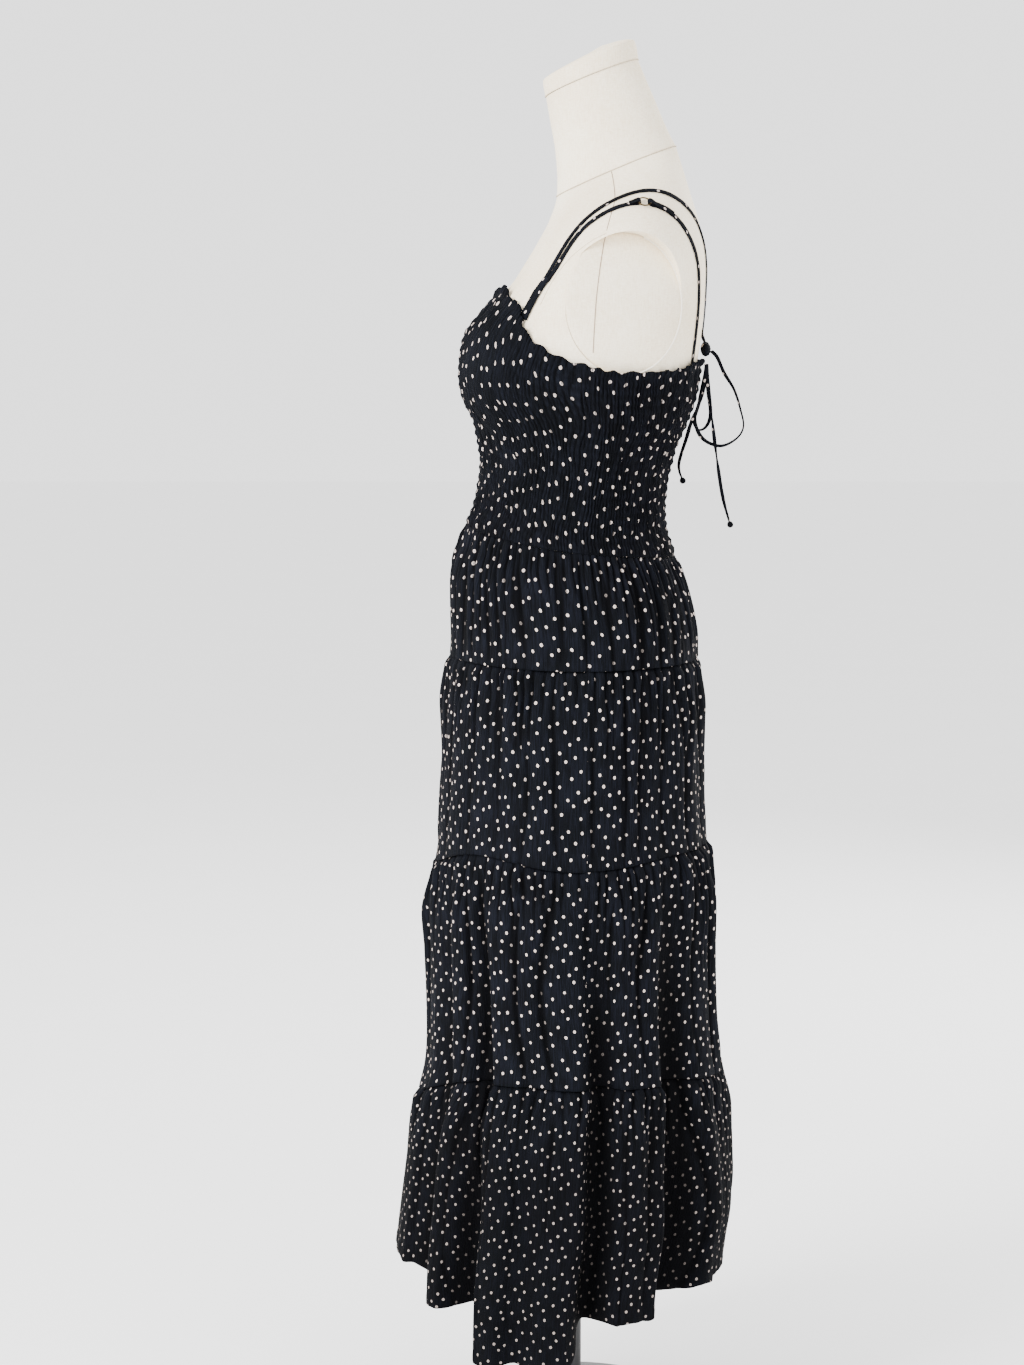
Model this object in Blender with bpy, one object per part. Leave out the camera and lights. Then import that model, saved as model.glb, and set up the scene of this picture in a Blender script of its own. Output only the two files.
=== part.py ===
import math
import random

import bmesh
import bpy
import numpy as np
from mathutils import Matrix, Vector
from mathutils.bvhtree import BVHTree

# A smocked maxi dress on a limbless dress form. Metres, +Z up, the wearer faces -Y,
# and the wearer's left side is +X. The stand's base rests on z = 0 round the origin.
# The tables' heights are those of the dress with its form low on the pole; raised lifts both.
# A turn is an angle in degrees about the body: 0 at the front, 90 at the wearer's left, 180 at the back.

cloth_wall = 0.0012
cloth_clear = 0.0027
seam_gap = 0.0005
side_seam_turn = 95.0
side_gap_turn = 0.11
ribs_a_panel = 38
gathers_a_panel = 14
rib_height = 0.0015
frill_height = 0.008
gather_height = 0.0036
strap_width = 0.0056
strap_thickness = 0.001
tab_width = 0.0120
ring_radius = 0.0062
ring_wire = 0.0008
ring_turn_radius = 0.0021
tie_diameter = 0.0038
pole_radius = 0.0105
raised = 0.095
base_radius = 0.140

# Form sections from the neck seam down: front and back heights, front and back depths, half width
form_sections = [
    # z_front, z_back, y_front, y_back, half_width
    (1.2310, 1.2830, -0.0180, 0.1073, 0.0580),
    (1.2210, 1.2680, -0.0205, 0.1120, 0.0780),
    (1.2090, 1.2520, -0.0250, 0.1170, 0.1000),
    (1.1986, 1.2370, -0.0296, 0.1215, 0.1210),
    (1.1865, 1.2180, -0.0365, 0.1275, 0.1400),
    (1.1745, 1.1990, -0.0433, 0.1330, 0.1530),
    (1.1590, 1.1790, -0.0530, 0.1375, 0.1600),
    (1.1420, 1.1590, -0.0640, 0.1392, 0.1625),
    (1.1290, 1.1410, -0.0765, 0.1390, 0.1620),
    (1.1090, 1.1160, -0.0945, 0.1378, 0.1590),
    (1.0850, 1.0880, -0.1145, 0.1352, 0.1530),
    (1.0520, 1.0520, -0.1235, 0.1300, 0.1480),
    (1.0220, 1.0220, -0.1205, 0.1255, 0.1450),
    (0.9950, 0.9950, -0.1055, 0.1160, 0.1400),
    (0.9650, 0.9650, -0.0968, 0.1035, 0.1320),
    (0.9350, 0.9350, -0.0965, 0.0960, 0.1250),
    (0.9060, 0.9060, -0.1020, 0.0930, 0.1225),
    (0.8800, 0.8800, -0.1115, 0.0950, 0.1260),
    (0.8500, 0.8500, -0.1175, 0.1040, 0.1350),
    (0.8000, 0.8000, -0.1195, 0.1140, 0.1480),
    (0.7500, 0.7500, -0.1215, 0.1230, 0.1560),
    (0.7000, 0.7000, -0.1240, 0.1260, 0.1600),
    (0.6700, 0.6700, -0.1200, 0.1220, 0.1560),
    (0.6560, 0.6560, -0.1080, 0.1100, 0.1440),
]

# Neck sections from the neck seam up to the cap
neck_sections = [
    # z_front, z_back, y_front, y_back, half_width
    (1.2316, 1.2836, -0.0182, 0.1071, 0.0578),
    (1.2420, 1.2945, -0.0178, 0.1012, 0.0556),
    (1.2570, 1.3060, -0.0180, 0.0957, 0.0538),
    (1.2830, 1.3280, -0.0205, 0.0862, 0.0515),
    (1.3090, 1.3505, -0.0252, 0.0764, 0.0505),
    (1.3346, 1.3727, -0.0296, 0.0669, 0.0500),
]

# Neck cap sections, a thick slanted disc with a softened upper edge
cap_sections = [
    # z_front, z_back, y_front, y_back, half_width
    (1.3352, 1.3733, -0.0304, 0.0672, 0.0505),
    (1.3425, 1.3815, -0.0318, 0.0662, 0.0507),
    (1.3495, 1.3895, -0.0328, 0.0642, 0.0503),
    (1.3530, 1.3935, -0.0318, 0.0615, 0.0485),
    (1.3570, 1.3930, -0.0240, 0.0500, 0.0400),
    (1.3635, 1.3880, -0.0070, 0.0300, 0.0200),
]

# Skirt outline from the waist seam to the hem, on the folds' crests
skirt_sections = [
    # z, y_front, y_back, half_width
    (0.8950, -0.1105, 0.0995, 0.1300),
    (0.8750, -0.1185, 0.1035, 0.1340),
    (0.8570, -0.1245, 0.1095, 0.1420),
    (0.8400, -0.1285, 0.1145, 0.1490),
    (0.8040, -0.1310, 0.1235, 0.1590),
    (0.7610, -0.1325, 0.1320, 0.1670),
    (0.7070, -0.1365, 0.1365, 0.1730),
    (0.6315, -0.1420, 0.1400, 0.1790),
    (0.5880, -0.1455, 0.1420, 0.1830),
    (0.5220, -0.1510, 0.1490, 0.1880),
    (0.4785, -0.1565, 0.1535, 0.1920),
    (0.4345, -0.1580, 0.1550, 0.1950),
    (0.3683, -0.1590, 0.1590, 0.1990),
    (0.3140, -0.1615, 0.1655, 0.2050),
    (0.2740, -0.1700, 0.1685, 0.2100),
    (0.2300, -0.1775, 0.1735, 0.2150),
    (0.1680, -0.1865, 0.1790, 0.2220),
    (0.1230, -0.1925, 0.1740, 0.2260),
    (0.0890, -0.1960, 0.1710, 0.2280),
    (0.0200, -0.1980, 0.1700, 0.2290),
]

# Large folds of the lower skirt: each crest with its hem height, then the groove that follows it
skirt_flutes = [
    # crest_turn, crest_hem_z, groove_turn, groove_hem_z, groove_depth
    (-163.0, 0.085, -140.0, 0.088, 0.042),
    (-116.0, 0.074, -93.0, 0.078, 0.050),
    (-70.0, 0.052, -47.0, 0.080, 0.044),
    (-27.0, 0.086, -8.0, 0.104, 0.022),
    (12.0, 0.104, 31.0, 0.092, 0.026),
    (42.0, 0.076, 51.0, 0.082, 0.034),
    (62.0, 0.026, 73.0, 0.032, 0.012),
    (89.0, 0.028, 99.0, 0.074, 0.038),
    (114.0, 0.076, 132.0, 0.088, 0.046),
    (153.0, 0.094, 174.0, 0.096, 0.026),
]
flute_top_z = 0.552
flute_growth = 0.90
groove_half_turn = (8.0, 15.0)
waist_ease = 0.030

# Height of the neckline edge by turn from the front
neckline_heights = [
    # turn, z
    (0.0, 1.1290),
    (20.0, 1.1320),
    (36.0, 1.1195),
    (48.0, 1.1130),
    (57.0, 1.0985),
    (69.0, 1.0795),
    (84.0, 1.0620),
    (97.0, 1.0515),
    (112.0, 1.0475),
    (138.0, 1.0500),
    (160.0, 1.0600),
    (180.0, 1.0610),
]

# Heights of the four seams under the smocking by turn from the front
seam_heights = [
    # turn, waist_z, seam1_z, seam2_z, seam3_z
    (0.0, 0.8850, 0.7480, 0.5240, 0.2760),
    (45.0, 0.8760, 0.7460, 0.5500, 0.3130),
    (90.0, 0.8620, 0.7440, 0.5400, 0.3180),
    (135.0, 0.8545, 0.7445, 0.5490, 0.3130),
    (180.0, 0.8515, 0.7450, 0.5470, 0.3010),
]

tier_rows = [
    # rows of each tier as shares of its height, top to bottom
    (0.0, 0.10, 0.32, 0.64, 1.0),
    (0.0, 0.08, 0.26, 0.60, 1.0),
    (0.0, 0.08, 0.25, 0.50, 0.75, 1.0),
    (0.0, 0.08, 0.25, 0.50, 0.76, 1.0),
]


for old in list(bpy.data.objects):
    bpy.data.objects.remove(old, do_unlink=True)


def material(name, color, roughness, metallic=0.0):
    made = bpy.data.materials.new(name)
    made.use_nodes = True
    shader = made.node_tree.nodes["Principled BSDF"]
    shader.inputs["Base Color"].default_value = (*color, 1.0)
    shader.inputs["Roughness"].default_value = roughness
    shader.inputs["Metallic"].default_value = metallic
    return made


dress_cloth = material("dress_cloth", (0.010, 0.012, 0.020), 0.85)
form_linen = material("form_linen", (0.80, 0.74, 0.64), 0.85)
ring_metal = material("ring_metal", (0.83, 0.78, 0.66), 0.30, 1.0)
stand_metal = material("stand_metal", (0.035, 0.035, 0.038), 0.45, 1.0)


# Curves through the tables
def through_rows(rows, parts):
    table = np.array(rows, dtype=float)
    ahead = np.vstack([2 * table[0] - table[1], table, 2 * table[-1] - table[-2]])
    out = []
    for k in range(len(table) - 1):
        a, b, c, d = ahead[k:k + 4]
        for j in range(parts):
            t = j / parts
            out.append(0.5 * (2 * b + (c - a) * t + (2 * a - 5 * b + 4 * c - d) * t * t
                              + (3 * b - a - 3 * c + d) * t ** 3))
    out.append(table[-1])
    return np.array(out)


def smooth_between(value, xs, ys):
    k = int(np.clip(np.searchsorted(xs, value) - 1, 0, len(xs) - 2))
    t = float(np.clip((value - xs[k]) / (xs[k + 1] - xs[k]), 0.0, 1.0))
    return ys[k] + (ys[k + 1] - ys[k]) * t * t * (3 - 2 * t)


form_fine = through_rows(form_sections, 10)
skirt_fine = through_rows(skirt_sections, 8)[::-1]


def folded_rows(rows):
    """Carries a table of turns on past the front and the back, so that its curve runs level through both."""
    before = (-rows[1][0],) + tuple(rows[1][1:])
    after = (360.0 - rows[-2][0],) + tuple(rows[-2][1:])
    return through_rows([before] + list(rows) + [after], 8)


neckline_fine = folded_rows(neckline_heights)
seams_fine = folded_rows(seam_heights)


def folded_turn(turn):
    return abs((turn + 180.0) % 360.0 - 180.0)


def ring_point(section, turn):
    z_front, z_back, y_front, y_back, half_width = section
    w = math.radians(turn)
    fullness = math.exp(-((z_front - 1.035) / 0.05) ** 2)
    front = max(math.cos(w), 0.0) ** (1.0 - 0.28 * fullness)
    dip = 0.008 * fullness * math.exp(-(folded_turn(turn) / 17.0) ** 2)
    reach = front if math.cos(w) > 0 else math.cos(w)
    middle = (y_front + y_back) / 2
    depth = (y_back - y_front) / 2
    z = (z_front + z_back) / 2 - (z_back - z_front) / 2 * math.cos(w)
    return Vector((half_width * math.sin(w), middle - depth * reach + dip, z))


def form_at(turn, z):
    w = math.cos(math.radians(turn))
    heights = (form_fine[:, 0] + form_fine[:, 1]) / 2 - (form_fine[:, 1] - form_fine[:, 0]) / 2 * w
    order = heights[::-1]
    columns = [np.interp(z, order, form_fine[::-1, k]) for k in range(5)]
    return ring_point(columns, turn)


def outward(surface, turn, z):
    side = surface(turn + 0.4, z) - surface(turn - 0.4, z)
    up = surface(turn, z + 0.001) - surface(turn, z - 0.001)
    return side.cross(up).normalized()


def skirt_outline(turn, z):
    y_front, y_back, half_width = [np.interp(z, skirt_fine[:, 0], skirt_fine[:, k]) for k in (1, 2, 3)]
    w = math.radians(turn)
    middle = (y_front + y_back) / 2
    depth = (y_back - y_front) / 2
    return Vector((half_width * math.sin(w), middle - depth * math.cos(w), z))


def flute_marks():
    marks = []
    for crest, crest_hem_z, groove, groove_hem_z, depth in skirt_flutes:
        marks.append((crest, crest_hem_z, 0.0))
        marks.append((groove, groove_hem_z, depth))
    first, last = marks[:2], marks[-2:]
    return [(a - 360.0, z, d) for a, z, d in last] + marks + [(a + 360.0, z, d) for a, z, d in first]


marks_round = flute_marks()


def flute_at(turn):
    """Gives the hem height and the fold's depth at the hem."""
    turn = (turn + 180.0) % 360.0 - 180.0
    for a, b in zip(marks_round, marks_round[1:]):
        if a[0] <= turn <= b[0]:
            t = (turn - a[0]) / (b[0] - a[0])
            from_groove = t if a[2] > 0 else 1.0 - t
            crest, groove = (b, a) if a[2] > 0 else (a, b)
            hem = crest[1] + (groove[1] - crest[1]) * (0.5 - 0.5 * math.cos(math.pi * (1.0 - from_groove) ** 1.8))
            span = b[0] - a[0]
            half = min(span, max(groove_half_turn[0], min(groove_half_turn[1], 0.62 * span)))
            near = min(1.0, from_groove * span / half)
            return hem, groove[2] * (0.5 + 0.5 * math.cos(math.pi * near))
    return marks_round[0][1], 0.0


def skirt_at(turn, z):
    hem, depth = flute_at(turn)
    grown = max(0.0, (flute_top_z - z) / (flute_top_z - hem)) ** flute_growth
    here = skirt_outline(turn, z)
    side = skirt_outline(turn + 0.4, z) - skirt_outline(turn - 0.4, z)
    inward = Vector((-side.y, side.x, 0.0)).normalized()
    here = here + inward * depth * grown
    under_waist = seam_z(0, turn) - z
    if under_waist < waist_ease:
        share = smooth_between(under_waist, [0.0, waist_ease], [0.0, 1.0])
        lift = cloth_clear + cloth_wall + gather_height / 2
        here = here * share + (form_at(turn, z) + outward(form_at, turn, z) * lift) * (1.0 - share)
    return here


def seam_z(level, turn):
    if level == 4:
        return flute_at(turn)[0]
    return float(np.interp(folded_turn(turn), seams_fine[:, 0], seams_fine[:, 1 + level]))


def neckline_z(turn):
    return float(np.interp(folded_turn(turn), neckline_fine[:, 0], neckline_fine[:, 1]))


# Building closed solids
def finish(name, verts, faces, slot, sharp=50.0):
    mesh = bpy.data.meshes.new(name)
    mesh.from_pydata([tuple(v) for v in verts], [], faces)
    shape = bmesh.new()
    shape.from_mesh(mesh)
    bmesh.ops.recalc_face_normals(shape, faces=shape.faces)
    shape.to_mesh(mesh)
    shape.free()
    mesh.materials.append(slot)
    mesh.shade_smooth()
    mesh.set_sharp_from_angle(angle=math.radians(sharp))
    made = bpy.data.objects.new(name, mesh)
    bpy.context.scene.collection.objects.link(made)
    return made


def join_chains(faces, first, second):
    i = 0
    j = 0
    while i < len(first) - 1 or j < len(second) - 1:
        next_i = (i + 1) / (len(first) - 1)
        next_j = (j + 1) / (len(second) - 1)
        if j == len(second) - 1 or (i < len(first) - 1 and next_i <= next_j + 1e-9):
            faces.append((first[i], first[i + 1], second[j]))
            i += 1
        else:
            faces.append((first[i], second[j + 1], second[j]))
            j += 1


def wall_panel(name, outer, inner, slot):
    """Closes a cloth wall between an outer grid and an inner grid of rows of points."""
    verts = []
    index = []
    for grid in (outer, inner):
        rows = []
        for row in grid:
            rows.append(list(range(len(verts), len(verts) + len(row))))
            verts.extend(row)
        index.append(rows)
    faces = []
    for rows in index:
        for upper, lower in zip(rows, rows[1:]):
            for k in range(len(upper) - 1):
                faces.append((upper[k], upper[k + 1], lower[k + 1], lower[k]))
    out, within = index
    join_chains(faces, out[0], within[0])
    join_chains(faces, out[-1], within[-1])
    join_chains(faces, [row[0] for row in out], [row[0] for row in within])
    join_chains(faces, [row[-1] for row in out], [row[-1] for row in within])
    return finish(name, verts, faces, slot)


def stacked(name, rings, slot, sharp=50.0):
    """Closes a solid through rings that all have the same number of points."""
    count = len(rings[0])
    verts = [v for ring in rings for v in ring]
    faces = []
    for k in range(len(rings) - 1):
        for j in range(count):
            n = (j + 1) % count
            faces.append((k * count + j, k * count + n, (k + 1) * count + n, (k + 1) * count + j))
    for start, turn in ((0, -1), ((len(rings) - 1) * count, 1)):
        middle = len(verts)
        ring = rings[0] if start == 0 else rings[-1]
        verts.append(sum((Vector(v) for v in ring), Vector()) / count)
        for j in range(count):
            faces.append((start + j, start + (j + 1) % count, middle))
    return finish(name, verts, faces, slot, sharp)


def turned(name, profile, count, slot, centre=(0.0, 0.0)):
    rings = []
    for radius, z in profile:
        rings.append([Vector((centre[0] + radius * math.cos(2 * math.pi * j / count),
                              centre[1] + radius * math.sin(2 * math.pi * j / count), z))
                      for j in range(count)])
    return stacked(name, rings, slot)


# The dress form
front_turns = [-side_seam_turn + 2 * side_seam_turn * k / 20 for k in range(21)]
back_turns = [side_seam_turn + (360 - 2 * side_seam_turn) * k / 18 for k in range(19)]
round_turns = front_turns[:-1] + back_turns[:-1]


def sections_to_rings(sections, parts, turns, keep):
    fine = through_rows(sections, parts)
    picked = [fine[k] for k in range(0, len(fine), keep)]
    if (len(fine) - 1) % keep:
        picked.append(fine[-1])
    return [[ring_point(section, turn) for turn in turns] for section in picked]


torso = stacked("form_torso", sections_to_rings(form_sections, 1, round_turns, 1), form_linen)
neck_turns = [360 * k / 24 for k in range(24)]
stacked("form_neck", sections_to_rings(neck_sections, 1, neck_turns, 1), form_linen)
stacked("form_neck_cap", sections_to_rings(cap_sections, 1, neck_turns, 1), form_linen)

# Oval domed plates that close the form's sides at the arms, each let into a flat seat
plate_middle = Vector((0.1310, 0.0475, 1.1150))
plate_half_wide = 0.0640
plate_half_high = 0.0725
plate_yaw = math.radians(20.0)
plate_lean = math.radians(0.5)
plate_face = Vector((math.cos(plate_yaw) * math.cos(plate_lean), math.sin(plate_yaw) * math.cos(plate_lean),
                     math.sin(plate_lean)))
plate_across = Vector((-math.sin(plate_yaw), math.cos(plate_yaw), 0.0))
plate_up = plate_face.cross(plate_across)


def oval(side, scale, rise, count=26):
    ring = []
    for j in range(count):
        a = 2 * math.pi * j / count
        spot = plate_middle + plate_face * rise + plate_across * (plate_half_wide * scale * math.cos(a))
        spot = spot + plate_up * (plate_half_high * scale * math.sin(a))
        ring.append(Vector((side * spot.x, spot.y, spot.z)))
    return ring


def cut_seat(side):
    cutter = stacked("seat_cutter", [oval(side, 1.0, 0.0), oval(side, 1.0, 0.06)], form_linen)
    cut = torso.modifiers.new("seat", "BOOLEAN")
    cut.operation = "DIFFERENCE"
    cut.solver = "EXACT"
    cut.object = cutter
    bpy.context.view_layer.update()
    seen = torso.evaluated_get(bpy.context.evaluated_depsgraph_get())
    new_mesh = bpy.data.meshes.new_from_object(seen)
    torso.modifiers.clear()
    old_mesh = torso.data
    torso.data = new_mesh
    bpy.data.meshes.remove(old_mesh)
    bpy.data.objects.remove(cutter, do_unlink=True)


for side in (1, -1):
    cut_seat(side)
torso.data.name = "form_torso"
torso.data.shade_smooth()
torso.data.set_sharp_from_angle(angle=math.radians(40))

for side, label in ((1, "left"), (-1, "right")):
    steps = [(0.985, 0.0004), (0.985, 0.0014), (0.90, 0.0030), (0.70, 0.0075), (0.40, 0.0115)]
    stacked("form_arm_plate_" + label, [oval(side, scale, rise) for scale, rise in steps], form_linen, 35.0)


# Smocked bodice: plain inside, puckers raised in the outer points
def bodice_base(turn, z):
    here = form_at(turn, z)
    return here + outward(form_at, turn, z) * (cloth_clear + cloth_wall)


def panel_turns(front, steps):
    start, end = (-side_seam_turn, side_seam_turn) if front else (side_seam_turn, 360.0 - side_seam_turn)
    start += side_gap_turn
    end -= side_gap_turn
    return [start + (end - start) * k / steps for k in range(steps + 1)]


def bodice_z(turn, row):
    """Gives the height of a row: the frill from 0 to 1, then the smocking down to the waist seam from 1 to 2."""
    top = neckline_z(turn)
    if row <= 1.0:
        return top - frill_height * row
    return top - frill_height + (seam_z(0, turn) + seam_gap / 2 - top + frill_height) * (row - 1.0)


def smocked_panel(name, front, seed):
    rng = random.Random(seed)
    columns = ribs_a_panel * 2
    turns = panel_turns(front, columns)
    step = turns[1] - turns[0]
    lean = [rng.uniform(-0.22, 0.22) * step for _ in turns]
    lean[0] = 0.0
    lean[-1] = 0.0
    strength = [rng.uniform(0.72, 1.15) for _ in turns]
    rows = [0.0, 0.45, 1.0] + [1.0 + (k + 1) / 8.0 for k in range(8)]
    outer = []
    for number, row in enumerate(rows):
        line = []
        for k, turn in enumerate(turns):
            at = turn + lean[k] * (0.6 + 0.4 * math.cos(number * 1.3 + k * 0.7))
            if k in (0, columns):
                at = turn
            z = bodice_z(at, row)
            crest = k % 2
            if number == 0:
                lift = 0.0022 * crest * strength[k] + 0.0006
            elif number == 1:
                lift = 0.0015 * crest * strength[k] + 0.0003
            elif number == 2:
                lift = 0.0005 * crest
            elif number == len(rows) - 1:
                lift = 0.0006 * crest
            else:
                pinch = 1.0 if number % 2 else 0.55
                lift = rib_height * pinch * crest * strength[k]
            line.append(bodice_base(at, z) + outward(form_at, at, z) * lift)
        outer.append(line)
    inner = []
    for row in rows:
        line = []
        for turn in turns[::2]:
            z = bodice_z(turn, row)
            line.append(form_at(turn, z) + outward(form_at, turn, z) * cloth_clear)
        inner.append(line)
    return wall_panel(name, outer, inner, dress_cloth)


smocked_panel("bodice_front", True, 11)
smocked_panel("bodice_back", False, 23)


# Gathered skirt tiers: the large folds run through all of them, and each tier's gathers start under its seam
def gather_fade(share):
    return smooth_between(share, [0.0, 0.10, 0.45, 1.0], [0.22, 1.0, 0.55, 0.14])


def tier_panel(name, tier, front, turns, seed):
    rng = random.Random(seed)
    strength = [rng.uniform(0.55, 1.2) for _ in turns]
    reach = [rng.uniform(0.75, 1.25) for _ in turns]
    outer = []
    inner = []
    for share in tier_rows[tier]:
        out_line = []
        in_line = []
        for k, turn in enumerate(turns):
            top = seam_z(tier, turn) - seam_gap / 2
            bottom = seam_z(tier + 1, turn) + (seam_gap / 2 if tier < 3 else 0.0)
            z = top + (bottom - top) * share
            here = skirt_at(turn, z)
            face = outward(skirt_at, turn, z)
            crest = (k + tier) % 2
            fade = gather_fade(min(1.0, share / reach[k]))
            lift = gather_height * crest * strength[k] * fade
            out_line.append(here + face * (lift - gather_height * 0.5))
            in_line.append(here - face * (cloth_wall + gather_height * 0.5))
        outer.append(out_line)
        inner.append(in_line)
    return wall_panel(name, outer, inner, dress_cloth)


def uneven_turns(front, seed):
    rng = random.Random(seed)
    turns = panel_turns(front, gathers_a_panel * 2)
    step = turns[1] - turns[0]
    return [t + (rng.uniform(-0.2, 0.2) * step if 0 < k < len(turns) - 1 else 0.0) for k, t in enumerate(turns)]


tier_turns = {True: uneven_turns(True, 5), False: uneven_turns(False, 6)}
for tier in range(4):
    for front, label in ((True, "front"), (False, "back")):
        name = "skirt_tier%d_%s" % (tier + 1, label)
        tier_panel(name, tier, front, tier_turns[front], 40 + 2 * tier + int(front))


# Bow at the middle of the back edge
knot_y = 0.1400
knot_z = 1.0712


def lump(name, place, radii, slot, count=12, rows=7, seed=3):
    rng = random.Random(seed)
    rings = []
    for k in range(rows):
        a = math.pi * (k + 0.6) / (rows + 0.2)
        ring = []
        for j in range(count):
            b = 2 * math.pi * j / count
            swell = 1.0 + rng.uniform(-0.05, 0.05)
            ring.append(Vector((place[0] + radii[0] * math.sin(a) * math.cos(b) * swell,
                                place[1] + radii[1] * math.sin(a) * math.sin(b) * swell,
                                place[2] + radii[2] * math.cos(a))))
        rings.append(ring)
    return stacked(name, rings, slot, 70.0)


knot = lump("bow_knot", (0.0, knot_y, knot_z), (0.0115, 0.0046, 0.0070), dress_cloth)


def shape_tree(made):
    shape = bmesh.new()
    shape.from_mesh(made.data)
    tree = BVHTree.FromBMesh(shape)
    shape.free()
    return tree


def seated(points, rim, tree, gap=0.00035):
    """Runs the first point of a line on until its rim lies a small gap off what it is tied into."""
    points = [Vector(p) for p in points]
    ahead = (points[0] - points[1]).normalized()
    place = points[0]
    for _ in range(120):
        if min(tree.find_nearest(place + r)[3] for r in rim(ahead)) <= gap:
            break
        place = place + ahead * 0.0001
    return [place] + points[1:]


def round_rim(radius):
    def rim(ahead):
        side = ahead.orthogonal().normalized()
        other = ahead.cross(side)
        spots = [side * math.cos(a * math.pi / 4) + other * math.sin(a * math.pi / 4) for a in range(8)]
        return [spot * radius for spot in spots] + [Vector()]
    return rim


def band_rim(face, width, thickness):
    def rim(ahead):
        across = ahead.cross(face).normalized() * width / 2
        up = across.cross(ahead).normalized() * thickness / 2
        return [across + up, across - up, up - across, -across - up, up, -up]
    return rim


knot_tree = shape_tree(knot)


# Straps laid on the form
torso_tree = shape_tree(torso)

# The wearer's left side, from the front to the back; the right side mirrors it
tab_line = [
    # x, y, z
    (0.1290, -0.0540, 1.1000),
    (0.1275, -0.0450, 1.1165),
    (0.1260, -0.0395, 1.1245),
    (0.1262, -0.0325, 1.1350),
]
adjuster_line = [
    # x, y, z
    (0.1290, -0.0290, 1.1375),
    (0.1300, -0.0160, 1.1565),
    (0.1295, -0.0015, 1.1795),
    (0.1285, 0.0135, 1.1955),
    (0.1270, 0.0410, 1.2115),
    (0.1235, 0.0700, 1.2150),
    (0.1115, 0.1015, 1.2015),
    (0.0900, 0.1210, 1.1700),
    (0.0790, 0.1275, 1.1500),
    (0.0690, 0.1305, 1.1215),
    (0.0630, 0.1295, 1.0960),
    (0.0580, 0.1275, 1.0645),
    (0.0570, 0.1265, 1.0530),
]
ring_share = 0.39
tie_line = [
    # x, y, z
    (0.1235, -0.0330, 1.1385),
    (0.1235, -0.0180, 1.1630),
    (0.1215, -0.0015, 1.1880),
    (0.1180, 0.0155, 1.2055),
    (0.1095, 0.0565, 1.2270),
    (0.1035, 0.0760, 1.2290),
    (0.0920, 0.0980, 1.2240),
    (0.0765, 0.1140, 1.2150),
    (0.0590, 0.1245, 1.2030),
    (0.0450, 0.1310, 1.1870),
    (0.0330, 0.1350, 1.1650),
    (0.0240, 0.1370, 1.1300),
    (0.0165, 0.1370, 1.0990),
    (0.0120, 0.1365, 1.0880),
]
strap_lift = 0.0015


def on_form(point, lift):
    place, normal, _, _ = torso_tree.find_nearest(point)
    return place + normal * lift, normal


def even_line(points, spacing):
    fine = through_rows(points, 16)
    gaps = np.linalg.norm(np.diff(fine, axis=0), axis=1)
    run = np.concatenate([[0.0], np.cumsum(gaps)])
    count = max(3, int(round(run[-1] / spacing)))
    at = np.linspace(0.0, run[-1], count + 1)
    return [Vector([float(np.interp(s, run, fine[:, k])) for k in range(3)]) for s in at]


def laid_line(points, spacing, lift):
    path = [on_form(p, lift)[0] for p in even_line(points, spacing)]
    for _ in range(3):
        inner = [(a + 2 * b + c) / 4 for a, b, c in zip(path, path[1:], path[2:])]
        path = [path[0]] + inner + [path[-1]]
    out = []
    for p in path:
        place, normal = on_form(p, lift)
        out.append((place, normal))
    return out


def strip(name, stations, thickness, slot):
    """Closes a flat band. Each station is a place, the band's face direction and its width there."""
    rings = []
    for k, (place, face, width) in enumerate(stations):
        before = stations[max(k - 1, 0)][0]
        after = stations[min(k + 1, len(stations) - 1)][0]
        along = (after - before).normalized()
        across = along.cross(face).normalized()
        up = across.cross(along).normalized()
        half = across * width / 2
        rise = up * thickness / 2
        rings.append([place - half - rise, place + half - rise, place + half + rise, place - half + rise])
    return stacked(name, rings, slot, 30.0)


def mirrored(stations, side):
    out = []
    for place, face, width in stations:
        out.append((Vector((side * place.x, place.y, place.z)), Vector((side * face.x, face.y, face.z)), width))
    return out


def ring_loop(path, along):
    """Leads the end of a strap round the ring's wire and back over itself. The ring lies past the path's end."""
    place, face = path[-1]
    centre = place + face * ring_turn_radius
    stations = [(p, n, strap_width) for p, n in path[:-2]]
    stations.append((path[-2][0], path[-2][1], strap_width * 0.94))
    stations.append((place, face, strap_width * 0.88))
    for degrees in (-55, -20, 20, 55):
        a = math.radians(degrees)
        spot = centre + along * math.cos(a) * ring_turn_radius + face * math.sin(a) * ring_turn_radius
        lean = (centre - spot).normalized()
        stations.append((spot, lean, strap_width * 0.88))
    top = centre + face * ring_turn_radius
    stations.append((top, -face, strap_width * 0.88))
    stations.append((top - along * 0.005 - face * 0.0012, -face, strap_width * 0.95))
    stations.append((top - along * 0.010 - face * 0.0024, -face, strap_width))
    stations.append((top - along * 0.016 - face * 0.0027, -face, strap_width))
    return stations


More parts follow.
